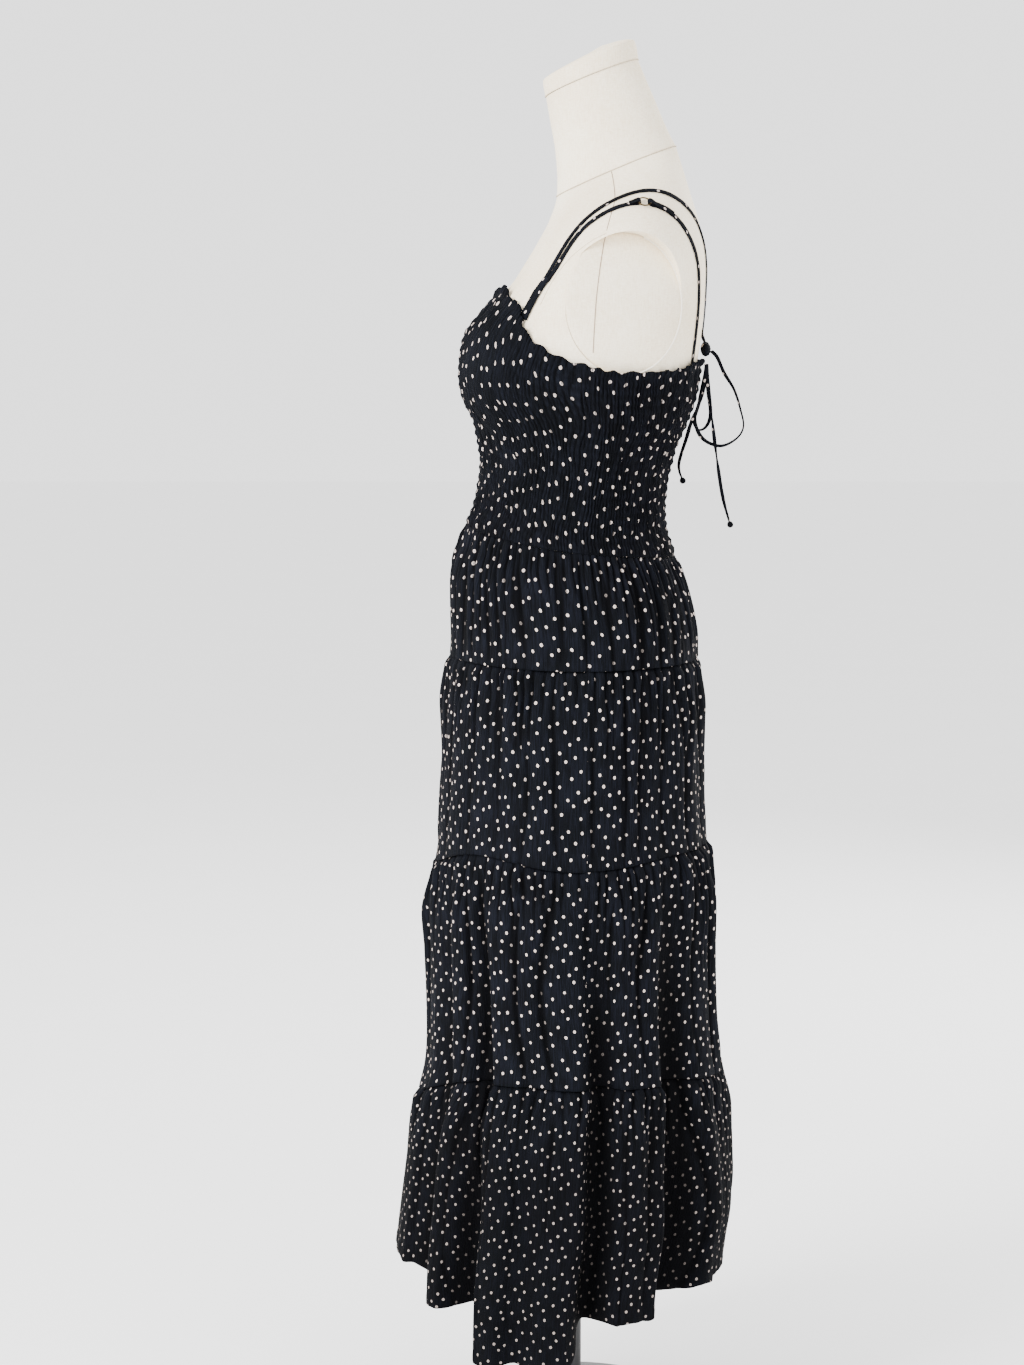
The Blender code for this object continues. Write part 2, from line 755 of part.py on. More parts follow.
def side_straps(side, label):
    tab = [(p, n, tab_width) for p, n in laid_line(tab_line, 0.006, strap_lift)]
    strip("strap_tab_" + label, mirrored(tab, side), strap_thickness, dress_cloth)
    path = laid_line(adjuster_line, 0.0090, strap_lift)
    middle = int(round(ring_share * (len(path) - 1)))
    centre, face = path[middle]
    along = (path[middle + 1][0] - path[middle - 1][0]).normalized()
    across = along.cross(face).normalized()
    front_wire = centre - along * ring_radius
    back_wire = centre + along * ring_radius
    first = [s for s in path[:middle] if (s[0] - front_wire).dot(along) < -0.003 or s[0].y < centre.y - 0.02]
    last = [s for s in path[middle + 1:] if (s[0] - back_wire).dot(along) > 0.003 or s[0].y > centre.y + 0.02]
    first.append((front_wire, face))
    last.insert(0, (back_wire, face))
    strip("strap_front_" + label, mirrored(ring_loop(first, along), side), strap_thickness, dress_cloth)
    strip("strap_back_" + label, mirrored(ring_loop(last[::-1], -along), side), strap_thickness, dress_cloth)
    rings = []
    middle_of_ring = centre + face * ring_turn_radius
    for j in range(16):
        a = 2 * math.pi * j / 16
        spoke = along * math.cos(a) + across * math.sin(a)
        ring = []
        for k in range(6):
            b = 2 * math.pi * k / 6
            spot = middle_of_ring + spoke * (ring_radius + ring_wire * math.cos(b)) + face * ring_wire * math.sin(b)
            ring.append(Vector((side * spot.x, spot.y, spot.z)))
        rings.append(ring)
    verts = [v for ring in rings for v in ring]
    faces = []
    for j in range(16):
        for k in range(6):
            n = (j + 1) % 16
            m = (k + 1) % 6
            faces.append((j * 6 + k, n * 6 + k, n * 6 + m, j * 6 + m))
    finish("strap_ring_" + label, verts, faces, ring_metal)
    tie = [(p, n, strap_width) for p, n in laid_line(tie_line, 0.0090, strap_lift)]
    leaving = Vector((0.0, 1.0, 0.15))
    for x, y, z in ((0.0090, 0.1375, 1.0830), (0.0070, 0.1390, 1.0795)):
        tie.append((Vector((x, y, z)), leaving, strap_width))
    tie = mirrored(tie, side)
    rim = band_rim(leaving, strap_width, strap_thickness)
    end = seated([tie[-1][0], tie[-2][0]], rim, knot_tree)[0]
    tie[-1] = (end, leaving, strap_width)
    strip("tie_strap_" + label, tie, strap_thickness, dress_cloth)


side_straps(1, "left")
side_straps(-1, "right")


bow_loop_left_line = [
    # x, y, z
    (0.0100, 0.1465, 1.0690),
    (0.0145, 0.1515, 1.0625),
    (0.0210, 0.1585, 1.0460),
    (0.0265, 0.1685, 1.0290),
    (0.0290, 0.1750, 1.0090),
    (0.0300, 0.1785, 0.9900),
    (0.0280, 0.1710, 0.9770),
    (0.0240, 0.1545, 0.9695),
    (0.0200, 0.1365, 0.9770),
    (0.0165, 0.1285, 0.9950),
    (0.0130, 0.1325, 1.0180),
    (0.0110, 0.1385, 1.0420),
    (0.0105, 0.1405, 1.0540),
]
bow_loop_right_line = [
    # x, y, z
    (-0.0110, 0.1415, 1.0540),
    (-0.0145, 0.1440, 1.0280),
    (-0.0190, 0.1470, 1.0060),
    (-0.0205, 0.1460, 0.9960),
    (-0.0215, 0.1420, 0.9885),
    (-0.0215, 0.1365, 0.9855),
    (-0.0210, 0.1315, 0.9880),
    (-0.0190, 0.1295, 0.9960),
    (-0.0150, 0.1335, 1.0110),
    (-0.0105, 0.1380, 1.0280),
    (-0.0068, 0.1400, 1.0420),
    (-0.0055, 0.1410, 1.0540),
]
tie_end_long_line = [
    # x, y, z
    (0.0050, 0.1415, 1.0540),
    (0.0050, 0.1425, 1.0350),
    (0.0060, 0.1460, 1.0070),
    (0.0070, 0.1500, 0.9730),
    (0.0080, 0.1540, 0.9440),
    (0.0085, 0.1575, 0.9220),
    (0.0085, 0.1610, 0.9060),
    (0.0085, 0.1660, 0.8890),
]
tie_end_short_line = [
    # x, y, z
    (0.0000, 0.1410, 1.0540),
    (-0.0005, 0.1395, 1.0380),
    (-0.0040, 0.1355, 1.0180),
    (-0.0070, 0.1265, 0.9965),
    (-0.0090, 0.1205, 0.9760),
    (-0.0100, 0.1160, 0.9620),
    (-0.0100, 0.1130, 0.9500),
    (-0.0100, 0.1135, 0.9420),
    (-0.0100, 0.1160, 0.9350),
]


def tube(name, points, diameter, slot, both_ends):
    rim = round_rim(diameter / 2)
    points = seated(points, rim, knot_tree)
    if both_ends:
        points = seated(points[::-1], rim, knot_tree)[::-1]
    path = even_line(points, diameter * 2.2)
    line = bpy.data.curves.new(name, "CURVE")
    line.dimensions = "3D"
    line.bevel_depth = diameter / 2
    line.bevel_resolution = 2
    line.use_fill_caps = True
    line.use_radius = False
    spline = line.splines.new("POLY")
    spline.points.add(len(path) - 1)
    for target, p in zip(spline.points, path):
        target.co = (*p, 1.0)
    line.materials.append(slot)
    made = bpy.data.objects.new(name, line)
    bpy.context.scene.collection.objects.link(made)
    return path


def tip_knot(name, path, slot):
    along = (path[-1] - path[-2]).normalized()
    place = path[-1] + along * 0.0038
    lump(name, tuple(place), (0.0032, 0.0032, 0.0034), slot, 10, 5, 9)


tube("bow_loop_left", bow_loop_left_line, tie_diameter, dress_cloth, True)
tube("bow_loop_right", bow_loop_right_line, tie_diameter, dress_cloth, True)
long_path = tube("tie_end_long", tie_end_long_line, tie_diameter, dress_cloth, False)
short_path = tube("tie_end_short", tie_end_short_line, tie_diameter, dress_cloth, False)
tip_knot("tie_tip_long", long_path, dress_cloth)
tip_knot("tie_tip_short", short_path, dress_cloth)

# Lift the form and the dress, then set the stand under them
for made in bpy.context.scene.objects:
    made.data.transform(Matrix.Translation((0.0, 0.0, raised)))
turned("stand_base", [(base_radius, 0.0), (base_radius, 0.007), (base_radius - 0.004, 0.0105),
                      (0.040, 0.0140), (0.026, 0.0165), (0.024, 0.030)], 40, stand_metal)
turned("stand_pole", [(pole_radius, 0.0304), (pole_radius, 0.6555 + raised)], 16, stand_metal)
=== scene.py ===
import math
import random

import bmesh
import bpy
import numpy as np
from mathutils import Matrix, Vector
from mathutils.bvhtree import BVHTree


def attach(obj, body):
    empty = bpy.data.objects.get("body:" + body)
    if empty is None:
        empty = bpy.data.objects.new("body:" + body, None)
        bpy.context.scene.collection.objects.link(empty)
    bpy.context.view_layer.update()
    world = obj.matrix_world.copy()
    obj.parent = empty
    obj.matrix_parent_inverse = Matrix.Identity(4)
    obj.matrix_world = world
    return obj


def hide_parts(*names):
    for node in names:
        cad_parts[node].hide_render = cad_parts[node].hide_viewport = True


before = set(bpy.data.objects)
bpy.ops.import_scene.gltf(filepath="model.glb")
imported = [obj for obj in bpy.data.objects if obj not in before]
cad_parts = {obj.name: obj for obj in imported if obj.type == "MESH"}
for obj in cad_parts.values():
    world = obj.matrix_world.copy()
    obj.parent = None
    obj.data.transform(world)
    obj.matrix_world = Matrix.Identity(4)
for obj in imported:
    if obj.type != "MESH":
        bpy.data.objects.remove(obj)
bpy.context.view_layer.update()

# A smocked maxi dress on a limbless dress form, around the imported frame.
# The wearer faces -Y and the wearer's left is +X. A turn is an angle in degrees about the body:
# 0 at the front, 90 at the wearer's left, 180 at the back.
# Heights in the tables are those of the low form, and raised lifts all of them.

raised = 0.095
sideTurn = 95.0


def tenths(*rows):
    # Rows told in tenths of a millimetre, as metres
    return np.array(rows) / 10000


formSections = tenths(
    # zFront, zBack, yFront, yBack, halfWidth
    (12310, 12830, -180, 1073, 580),
    (12210, 12680, -205, 1120, 780),
    (12090, 12520, -250, 1170, 1000),
    (11986, 12370, -296, 1215, 1210),
    (11865, 12180, -365, 1275, 1400),
    (11745, 11990, -433, 1330, 1530),
    (11590, 11790, -530, 1375, 1600),
    (11420, 11590, -640, 1392, 1625),
    (11290, 11410, -765, 1390, 1620),
    (11090, 11160, -945, 1378, 1590),
    (10850, 10880, -1145, 1352, 1530),
    (10520, 10520, -1235, 1300, 1480),
    (10220, 10220, -1205, 1255, 1450),
    (9950, 9950, -1055, 1160, 1400),
    (9650, 9650, -968, 1035, 1320),
    (9350, 9350, -965, 960, 1250),
    (9060, 9060, -1020, 930, 1225),
    (8800, 8800, -1115, 950, 1260),
    (8500, 8500, -1175, 1040, 1350),
    (8000, 8000, -1195, 1140, 1480),
    (7500, 7500, -1215, 1230, 1560),
    (7000, 7000, -1240, 1260, 1600),
    (6700, 6700, -1200, 1220, 1560),
    (6560, 6560, -1080, 1100, 1440),
)

neckSections = tenths(
    # zFront, zBack, yFront, yBack, halfWidth
    (12316, 12836, -182, 1071, 578),
    (12420, 12945, -178, 1012, 556),
    (12570, 13060, -180, 957, 538),
    (12830, 13280, -205, 862, 515),
    (13090, 13505, -252, 764, 505),
    (13346, 13727, -296, 669, 500),
)

capSections = tenths(
    # zFront, zBack, yFront, yBack, halfWidth
    (13352, 13733, -304, 672, 505),
    (13425, 13815, -318, 662, 507),
    (13495, 13895, -328, 642, 503),
    (13530, 13935, -318, 615, 485),
    (13570, 13930, -240, 500, 400),
    (13635, 13880, -70, 300, 200),
)

skirtSections = tenths(
    # z, yFront, yBack, halfWidth
    (8950, -1105, 995, 1300),
    (8750, -1185, 1035, 1340),
    (8570, -1245, 1095, 1420),
    (8400, -1285, 1145, 1490),
    (8040, -1310, 1235, 1590),
    (7610, -1325, 1320, 1670),
    (7070, -1365, 1365, 1730),
    (6315, -1420, 1400, 1790),
    (5880, -1455, 1420, 1830),
    (5220, -1510, 1490, 1880),
    (4785, -1565, 1535, 1920),
    (4345, -1580, 1550, 1950),
    (3683, -1590, 1590, 1990),
    (3140, -1615, 1655, 2050),
    (2740, -1700, 1685, 2100),
    (2300, -1775, 1735, 2150),
    (1680, -1865, 1790, 2220),
    (1230, -1925, 1740, 2260),
    (890, -1960, 1710, 2280),
    (200, -1980, 1700, 2290),
)

# Large folds of the lower skirt: each crest with its hem height, then the groove that follows it
skirtFlutes = [
    # crestTurn, crestHemZ, grooveTurn, grooveHemZ, grooveDepth
    (-163, 0.085, -140, 0.088, 0.042),
    (-116, 0.074, -93, 0.078, 0.05),
    (-70, 0.052, -47, 0.08, 0.044),
    (-27, 0.086, -8, 0.104, 0.022),
    (12, 0.104, 31, 0.092, 0.026),
    (42, 0.076, 51, 0.082, 0.034),
    (62, 0.026, 73, 0.032, 0.012),
    (89, 0.028, 99, 0.074, 0.038),
    (114, 0.076, 132, 0.088, 0.046),
    (153, 0.094, 174, 0.096, 0.026),
]
fluteLook = {
    "top": 0.552 + raised, "growth": 0.90, "halfTurn": (8.0, 15.0), "grooveShare": 0.62,
    "hemFall": 1.8,
}
waistLook = {"ease": 0.030, "off": 0.0057}
bustLook = {
    "height": 1.035, "spread": 0.05, "flatten": 0.28, "dip": 0.008, "dipTurn": 17.0,
}

necklineHeights = [
    # turn, z
    (0, 1.129),
    (20, 1.132),
    (36, 1.1195),
    (48, 1.113),
    (57, 1.0985),
    (69, 1.0795),
    (84, 1.062),
    (97, 1.0515),
    (112, 1.0475),
    (138, 1.05),
    (160, 1.06),
    (180, 1.061),
]

seamHeights = [
    # turn, waistZ, seam1Z, seam2Z, seam3Z
    (0, 0.885, 0.748, 0.524, 0.276),
    (45, 0.876, 0.746, 0.55, 0.313),
    (90, 0.862, 0.744, 0.54, 0.318),
    (135, 0.8545, 0.7445, 0.549, 0.313),
    (180, 0.8515, 0.745, 0.547, 0.301),
]

bowLines = {
    # x, y, z along each loop and end
    "bowLoopLeft": [
        (0.0100, 0.1465, 1.0690), (0.0145, 0.1515, 1.0625), (0.0210, 0.1585, 1.0460),
        (0.0265, 0.1685, 1.0290), (0.0290, 0.1750, 1.0090), (0.0300, 0.1785, 0.9900),
        (0.0280, 0.1710, 0.9770), (0.0240, 0.1545, 0.9695), (0.0200, 0.1365, 0.9770),
        (0.0165, 0.1285, 0.9950), (0.0130, 0.1325, 1.0180), (0.0110, 0.1385, 1.0420),
        (0.0105, 0.1405, 1.0540),
    ],
    "bowLoopRight": [
        (-0.0110, 0.1415, 1.0540), (-0.0145, 0.1440, 1.0280), (-0.0190, 0.1470, 1.0060),
        (-0.0205, 0.1460, 0.9960), (-0.0215, 0.1420, 0.9885), (-0.0215, 0.1365, 0.9855),
        (-0.0210, 0.1315, 0.9880), (-0.0190, 0.1295, 0.9960), (-0.0150, 0.1335, 1.0110),
        (-0.0105, 0.1380, 1.0280), (-0.0068, 0.1400, 1.0420), (-0.0055, 0.1410, 1.0540),
    ],
    "tieEndLong": [
        (0.0050, 0.1415, 1.0540), (0.0050, 0.1425, 1.0350), (0.0060, 0.1460, 1.0070),
        (0.0070, 0.1500, 0.9730), (0.0080, 0.1540, 0.9440), (0.0085, 0.1575, 0.9220),
        (0.0085, 0.1610, 0.9060), (0.0085, 0.1660, 0.8890),
    ],
    "tieEndShort": [
        (0.0000, 0.1410, 1.0540), (-0.0005, 0.1395, 1.0380), (-0.0040, 0.1355, 1.0180),
        (-0.0070, 0.1265, 0.9965), (-0.0090, 0.1205, 0.9760), (-0.0100, 0.1160, 0.9620),
        (-0.0100, 0.1130, 0.9500), (-0.0100, 0.1135, 0.9420), (-0.0100, 0.1160, 0.9350),
    ],
}

strapLines = {
    # x, y, z on the wearer's left; the right side mirrors them
    "tab": [
        (0.1290, -0.0540, 1.1000), (0.1275, -0.0450, 1.1165), (0.1260, -0.0395, 1.1245),
        (0.1262, -0.0325, 1.1350),
    ],
    "adjuster": [
        (0.1290, -0.0290, 1.1375), (0.1300, -0.0160, 1.1565), (0.1295, -0.0015, 1.1795),
        (0.1285, 0.0135, 1.1955), (0.1270, 0.0410, 1.2115), (0.1235, 0.0700, 1.2150),
        (0.1115, 0.1015, 1.2015), (0.0900, 0.1210, 1.1700), (0.0790, 0.1275, 1.1500),
        (0.0690, 0.1305, 1.1215), (0.0630, 0.1295, 1.0960), (0.0580, 0.1275, 1.0645),
        (0.0570, 0.1265, 1.0530),
    ],
    "tie": [
        (0.1235, -0.0330, 1.1385), (0.1235, -0.0180, 1.1630), (0.1215, -0.0015, 1.1880),
        (0.1180, 0.0155, 1.2055), (0.1095, 0.0565, 1.2270), (0.1035, 0.0760, 1.2290),
        (0.0920, 0.0980, 1.2240), (0.0765, 0.1140, 1.2150), (0.0590, 0.1245, 1.2030),
        (0.0450, 0.1310, 1.1870), (0.0330, 0.1350, 1.1650), (0.0240, 0.1370, 1.1300),
        (0.0165, 0.1370, 1.0990), (0.0120, 0.1365, 1.0880),
    ],
}


# Curves and noise
def throughRows(rows, parts):
    # A smooth curve through every row, with so many parts between two rows
    table = np.array(rows, dtype=float)
    ahead = np.vstack([2 * table[0] - table[1], table, 2 * table[-1] - table[-2]])
    t = (np.arange(parts) / parts)[:, None]
    out = []
    for a, b, c, d in zip(ahead, ahead[1:], ahead[2:], ahead[3:]):
        curve = 2 * b + (c - a) * t + (2 * a - 5 * b + 4 * c - d) * t * t + (3 * b - a - 3 * c + d) * t ** 3
        out.append(curve / 2)
    out.append(table[-1:])
    return np.vstack(out)


def foldedRows(rows):
    before = (-rows[1][0],) + tuple(rows[1][1:])
    after = (360.0 - rows[-2][0],) + tuple(rows[-2][1:])
    return throughRows([before] + list(rows) + [after], 8)


def runOf(path):
    return np.concatenate([[0.0], np.cumsum(np.linalg.norm(np.diff(path, axis=0), axis=1))])


def eased(points, rounds):
    # Each point moves toward its neighbours and the two ends stay
    for _ in range(rounds):
        points[1:-1] = (points[:-2] + 2 * points[1:-1] + points[2:]) / 4
    return points


def unit(vectors):
    return vectors / np.linalg.norm(vectors, axis=-1, keepdims=True)


def roundTheCircle(count):
    return 2 * np.pi * np.arange(count) / count


def pointAt(at, run, path):
    return np.stack([np.interp(at, run, path[:, k]) for k in range(3)], axis=-1)


def lifted(rows, columns):
    table = np.array(rows, dtype=float)
    table[:, columns] += raised
    return table


formFine = throughRows(lifted(formSections, [0, 1]), 10)
skirtFine = throughRows(lifted(skirtSections, [0]), 8)[::-1]
necklineFine = foldedRows(lifted(necklineHeights, [1]).tolist())
seamsFine = foldedRows(lifted(seamHeights, [1, 2, 3, 4]).tolist())
flutes = lifted(skirtFlutes, [1, 3])


def foldedTurn(turn):
    return np.abs((turn + 180.0) % 360.0 - 180.0)


def smooth(value, low, high):
    t = np.clip((value - low) / (high - low), 0.0, 1.0)
    return t * t * (3 - 2 * t)


latticeSize = 97
halvings = 22
turnStep = 0.4
heightStep = 0.001


def softNoise(x, y, seed):
    lattice = np.random.RandomState(seed).rand(latticeSize, latticeSize) * 2 - 1
    i = np.floor(x).astype(int)
    j = np.floor(y).astype(int)
    fx = smooth(x - i, 0, 1)
    fy = smooth(y - j, 0, 1)
    here = i % latticeSize
    beside = (i + 1) % latticeSize
    low = j % latticeSize
    high = (j + 1) % latticeSize
    near = lattice[here, low] * (1 - fx) + lattice[beside, low] * fx
    far = lattice[here, high] * (1 - fx) + lattice[beside, high] * fx
    return near * (1 - fy) + far * fy


def ringPoint(section, turn):
    zFront, zBack, yFront, yBack, halfWidth = section
    w = np.radians(turn)
    fullness = np.exp(-((zFront - raised - bustLook["height"]) / bustLook["spread"]) ** 2)
    bustward = np.maximum(np.cos(w), 0.0) ** (1.0 - bustLook["flatten"] * fullness)
    dip = bustLook["dip"] * fullness * np.exp(-(foldedTurn(turn) / bustLook["dipTurn"]) ** 2)
    reach = np.where(np.cos(w) > 0, bustward, np.cos(w))
    z = (zFront + zBack) / 2 - (zBack - zFront) / 2 * np.cos(w)
    y = (yFront + yBack) / 2 - (yBack - yFront) / 2 * reach + dip
    return np.stack([halfWidth * np.sin(w), y, z], axis=-1)


def formAt(turn, z):
    # The rings are tilted, so the one that passes through this height is found by halving
    turn, z = np.broadcast_arrays(np.asarray(turn, dtype=float), np.asarray(z, dtype=float))
    w = np.cos(np.radians(turn))
    grid = np.arange(len(formFine))
    above = np.zeros_like(z)
    below = np.full_like(z, len(formFine) - 1.0)
    for _ in range(halvings):
        middle = (above + below) / 2
        front = np.interp(middle, grid, formFine[:, 0])
        back = np.interp(middle, grid, formFine[:, 1])
        tooHigh = front * (1 + w) / 2 + back * (1 - w) / 2 > z
        above = np.where(tooHigh, middle, above)
        below = np.where(tooHigh, below, middle)
    return ringPoint([np.interp(above, grid, formFine[:, k]) for k in range(5)], turn)


def outward(surface, turn, z):
    side = surface(turn + turnStep, z) - surface(turn - turnStep, z)
    up = surface(turn, z + heightStep) - surface(turn, z - heightStep)
    return unit(np.cross(side, up))


def skirtOutline(turn, z):
    yFront, yBack, halfWidth = [np.interp(z, skirtFine[:, 0], skirtFine[:, k]) for k in (1, 2, 3)]
    w = np.radians(turn)
    y = (yFront + yBack) / 2 - (yBack - yFront) / 2 * np.cos(w)
    return np.stack([halfWidth * np.sin(w), y, z + 0 * turn], axis=-1)


def fluteMarks():
    marks = []
    for crest, crestHem, groove, grooveHem, depth in flutes:
        marks.append((crest, crestHem, 0.0))
        marks.append((groove, grooveHem, depth))
    first, last = marks[:2], marks[-2:]
    return [(a - 360.0, z, d) for a, z, d in last] + marks + [(a + 360.0, z, d) for a, z, d in first]


marksRound = fluteMarks()


def fluteAt(turn):
    # The hem's height and the groove's full depth at each turn
    turn = (turn + 180.0) % 360.0 - 180.0
    hem = np.zeros_like(turn)
    depth = np.zeros_like(turn)
    narrow, wide = fluteLook["halfTurn"]
    for a, b in zip(marksRound, marksRound[1:]):
        here = (turn >= a[0]) & (turn <= b[0])
        t = np.clip((turn - a[0]) / (b[0] - a[0]), 0.0, 1.0)
        fromGroove = t if a[2] > 0 else 1.0 - t
        crest, groove = (b, a) if a[2] > 0 else (a, b)
        fall = 0.5 - 0.5 * np.cos(np.pi * (1.0 - fromGroove) ** fluteLook["hemFall"])
        hem = np.where(here, crest[1] + (groove[1] - crest[1]) * fall, hem)
        span = b[0] - a[0]
        half = min(span, max(narrow, min(wide, fluteLook["grooveShare"] * span)))
        near = np.minimum(1.0, fromGroove * span / half)
        depth = np.where(here, groove[2] * (0.5 + 0.5 * np.cos(np.pi * near)), depth)
    return hem, depth


def seamZ(level, turn):
    if level == 4:
        return fluteAt(turn)[0]
    return np.interp(foldedTurn(turn), seamsFine[:, 0], seamsFine[:, 1 + level])


def necklineZ(turn):
    return np.interp(foldedTurn(turn), necklineFine[:, 0], necklineFine[:, 1])


def skirtAt(turn, z):
    hem, depth = fluteAt(turn)
    grown = np.maximum(0.0, (fluteLook["top"] - z) / (fluteLook["top"] - hem)) ** fluteLook["growth"]
    here = skirtOutline(turn, z)
    side = skirtOutline(turn + turnStep, z) - skirtOutline(turn - turnStep, z)
    inward = unit(np.stack([-side[..., 1], side[..., 0], 0 * side[..., 0]], axis=-1))
    here = here + inward * (depth * grown)[..., None]
    share = smooth(seamZ(0, turn) - z, 0.0, waistLook["ease"])[..., None]
    if np.min(share) < 1.0:
        waist = formAt(turn, z) + outward(formAt, turn, z) * waistLook["off"]
        here = here * share + waist * (1.0 - share)
    return here


# Making meshes
def linked(name, data):
    made = bpy.data.objects.new(name, data)
    bpy.context.scene.collection.objects.link(made)
    return made


def addMesh(name, verts, faces, finishes, uvs=None, sharp=60.0):
    mesh = bpy.data.meshes.new(name)
    mesh.from_pydata([tuple(v) for v in np.asarray(verts, dtype=float)], [], faces)
    mesh.validate()
    for finish in finishes:
        mesh.materials.append(finish)
    if uvs is not None:
        layer = mesh.uv_layers.new(name="cloth")
        loops = np.empty(len(mesh.loops), dtype=np.int32)
        mesh.loops.foreach_get("vertex_index", loops)
        layer.data.foreach_set("uv", np.asarray(uvs, dtype=np.float32)[loops].ravel())
    mesh.shade_smooth()
    mesh.set_sharp_from_angle(angle=math.radians(sharp))
    made = linked(name, mesh)
    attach(made, "root")
    return made


def gridFaces(rows, columns, wrap=False):
    across = columns if wrap else columns - 1
    i, j = np.meshgrid(np.arange(rows - 1), np.arange(across), indexing="ij")
    n = (j + 1) % columns
    upper = i * columns
    lower = (i + 1) * columns
    quads = np.stack([upper + j, lower + j, lower + n, upper + n], axis=-1)
    return quads.reshape(-1, 4).tolist()


def endFans(rows, count):
    # Fans that close a tube's two ends, over the two points that follow its rings
    faces = []
    last = (rows - 1) * count
    for j in range(count):
        n = (j + 1) % count
        faces.append((j, n, rows * count))
        faces.append((last + n, last + j, rows * count + 1))
    return faces


def paintedCreaseShade(lift, reach, full):
    # How far each point lies below the cloth beside it, from 0 on a crest to 1 deep in a crease, used as
    # painted shade
    padded = np.pad(lift, ((0, 0), (reach, reach)), mode="edge")
    beside = sum(padded[:, k:k + lift.shape[1]] for k in range(2 * reach + 1)) / (2 * reach + 1)
    return smooth((beside - lift) / full, 0.0, 1.0)


def cloth(name, points, uvs, finishes, thickness, crease):
    rows, columns = points.shape[:2]
    faces = gridFaces(rows, columns)
    made = addMesh(name, points.reshape(-1, 3), faces, finishes, uvs.reshape(-1, 2), 180.0)
    # The crease attribute carries painted shade for the cloth's base colour
    shade = made.data.attributes.new("crease", "FLOAT", "POINT")
    shade.data.foreach_set("value", np.ascontiguousarray(crease, dtype=np.float32).ravel())
    shell = made.modifiers.new("thickness", "SOLIDIFY")
    shell.thickness = thickness
    shell.offset = -1.0
    shell.use_even_offset = False
    shell.material_offset = 1
    return made


def stacked(name, rings, finish, sharp=60.0):
    # A closed body from rings
    rings = [np.asarray(ring, dtype=float) for ring in rings]
    count = len(rings[0])
    verts = np.vstack(rings + [rings[0].mean(axis=0)[None], rings[-1].mean(axis=0)[None]])
    faces = gridFaces(len(rings), count, True) + endFans(len(rings), count)
    made = addMesh(name, verts, faces, [finish], None, sharp)
    turnOut(made)
    return made


def turnOut(made):
    shape = bmesh.new()
    shape.from_mesh(made.data)
    bmesh.ops.recalc_face_normals(shape, faces=shape.faces)
    shape.to_mesh(made.data)
    shape.free()


def turned(name, profile, count, finish, sharp=40.0):
    a = roundTheCircle(count)
    rings = [np.stack([r * np.cos(a), r * np.sin(a), z + 0 * a], axis=-1) for r, z in profile]
    return stacked(name, rings, finish, sharp)


def frames(path):
    ahead = unit(np.gradient(path, axis=0))
    side = Vector(ahead[0]).orthogonal().normalized()
    sides = []
    for direction in ahead:
        direction = Vector(direction)
        side = (side - direction * side.dot(direction)).normalized()
        sides.append(side)
    sides = np.array(sides)
    return ahead, sides, np.cross(ahead, sides)


def alongPath(points, spacing):
    fine = throughRows(points, 24)
    run = runOf(fine)
    at = np.linspace(0.0, run[-1], max(4, int(round(run[-1] / spacing))) + 1)
    return pointAt(at, run, fine), at


bandEnd = 0.0002


def band(name, path, faces, width, thickness, finish, run, count=12, roundness=0.62, loop=False):
    # A flat cord along a path, its wide side turned to faces, with rounded edges
    path = np.asarray(path, dtype=float)
    ahead = np.gradient(path, axis=0)
    if loop:
        ahead = np.roll(path, -1, axis=0) - np.roll(path, 1, axis=0)
    ahead = unit(ahead)
    across = unit(np.cross(ahead, faces))
    up = np.cross(across, ahead)
    a = roundTheCircle(count)
    cx = np.sign(np.cos(a)) * np.abs(np.cos(a)) ** roundness
    cy = np.sign(np.sin(a)) * np.abs(np.sin(a)) ** roundness
    width = np.broadcast_to(width, len(path))
    thickness = np.broadcast_to(thickness, len(path))
    points = path[:, None, :] + across[:, None, :] * (cx[None, :] * width[:, None] / 2)[..., None]
    points = points + up[:, None, :] * (cy[None, :] * thickness[:, None] / 2)[..., None]
    turnBy = np.concatenate([[0.0], np.cumsum(np.hypot(np.diff(cx), np.diff(cy)))])
    u = turnBy[None, :] * width[:, None] * 0.5
    uvs = np.stack([u, np.asarray(run)[:, None] + 0 * u], axis=-1)
    rows = len(path)
    quads = gridFaces(rows, count, True)
    verts = points.reshape(-1, 3)
    flat = uvs.reshape(-1, 2)
    if loop:
        last = (rows - 1) * count
        quads += [(last + j, j, (j + 1) % count, last + (j + 1) % count) for j in range(count)]
    else:
        ends = (path[0][None] - ahead[0] * bandEnd, path[-1][None] + ahead[-1] * bandEnd)
        verts = np.vstack([verts, *ends])
        flat = np.vstack([flat, flat[0], flat[-1]])
        quads += endFans(rows, count)
    made = addMesh(name, verts, quads, [finish], flat, 50.0)
    turnOut(made)
    return made


def printed(made, flatAt):
    # Gives a small round piece the cloth's print, laid by flatAt
    layer = made.data.uv_layers.new(name="cloth")
    for loop in made.data.loops:
        layer.data[loop.index].uv = flatAt(made.data.vertices[loop.vertex_index].co)


def standsFor(piece):
    # A node has its piece's name, in small letters with lines between the words
    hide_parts("".join("_" + c.lower() if c.isupper() else c for c in piece.name))


def treeOf(made):
    shape = bmesh.new()
    shape.from_mesh(made.data)
    tree = BVHTree.FromBMesh(shape)
    shape.free()
    return tree


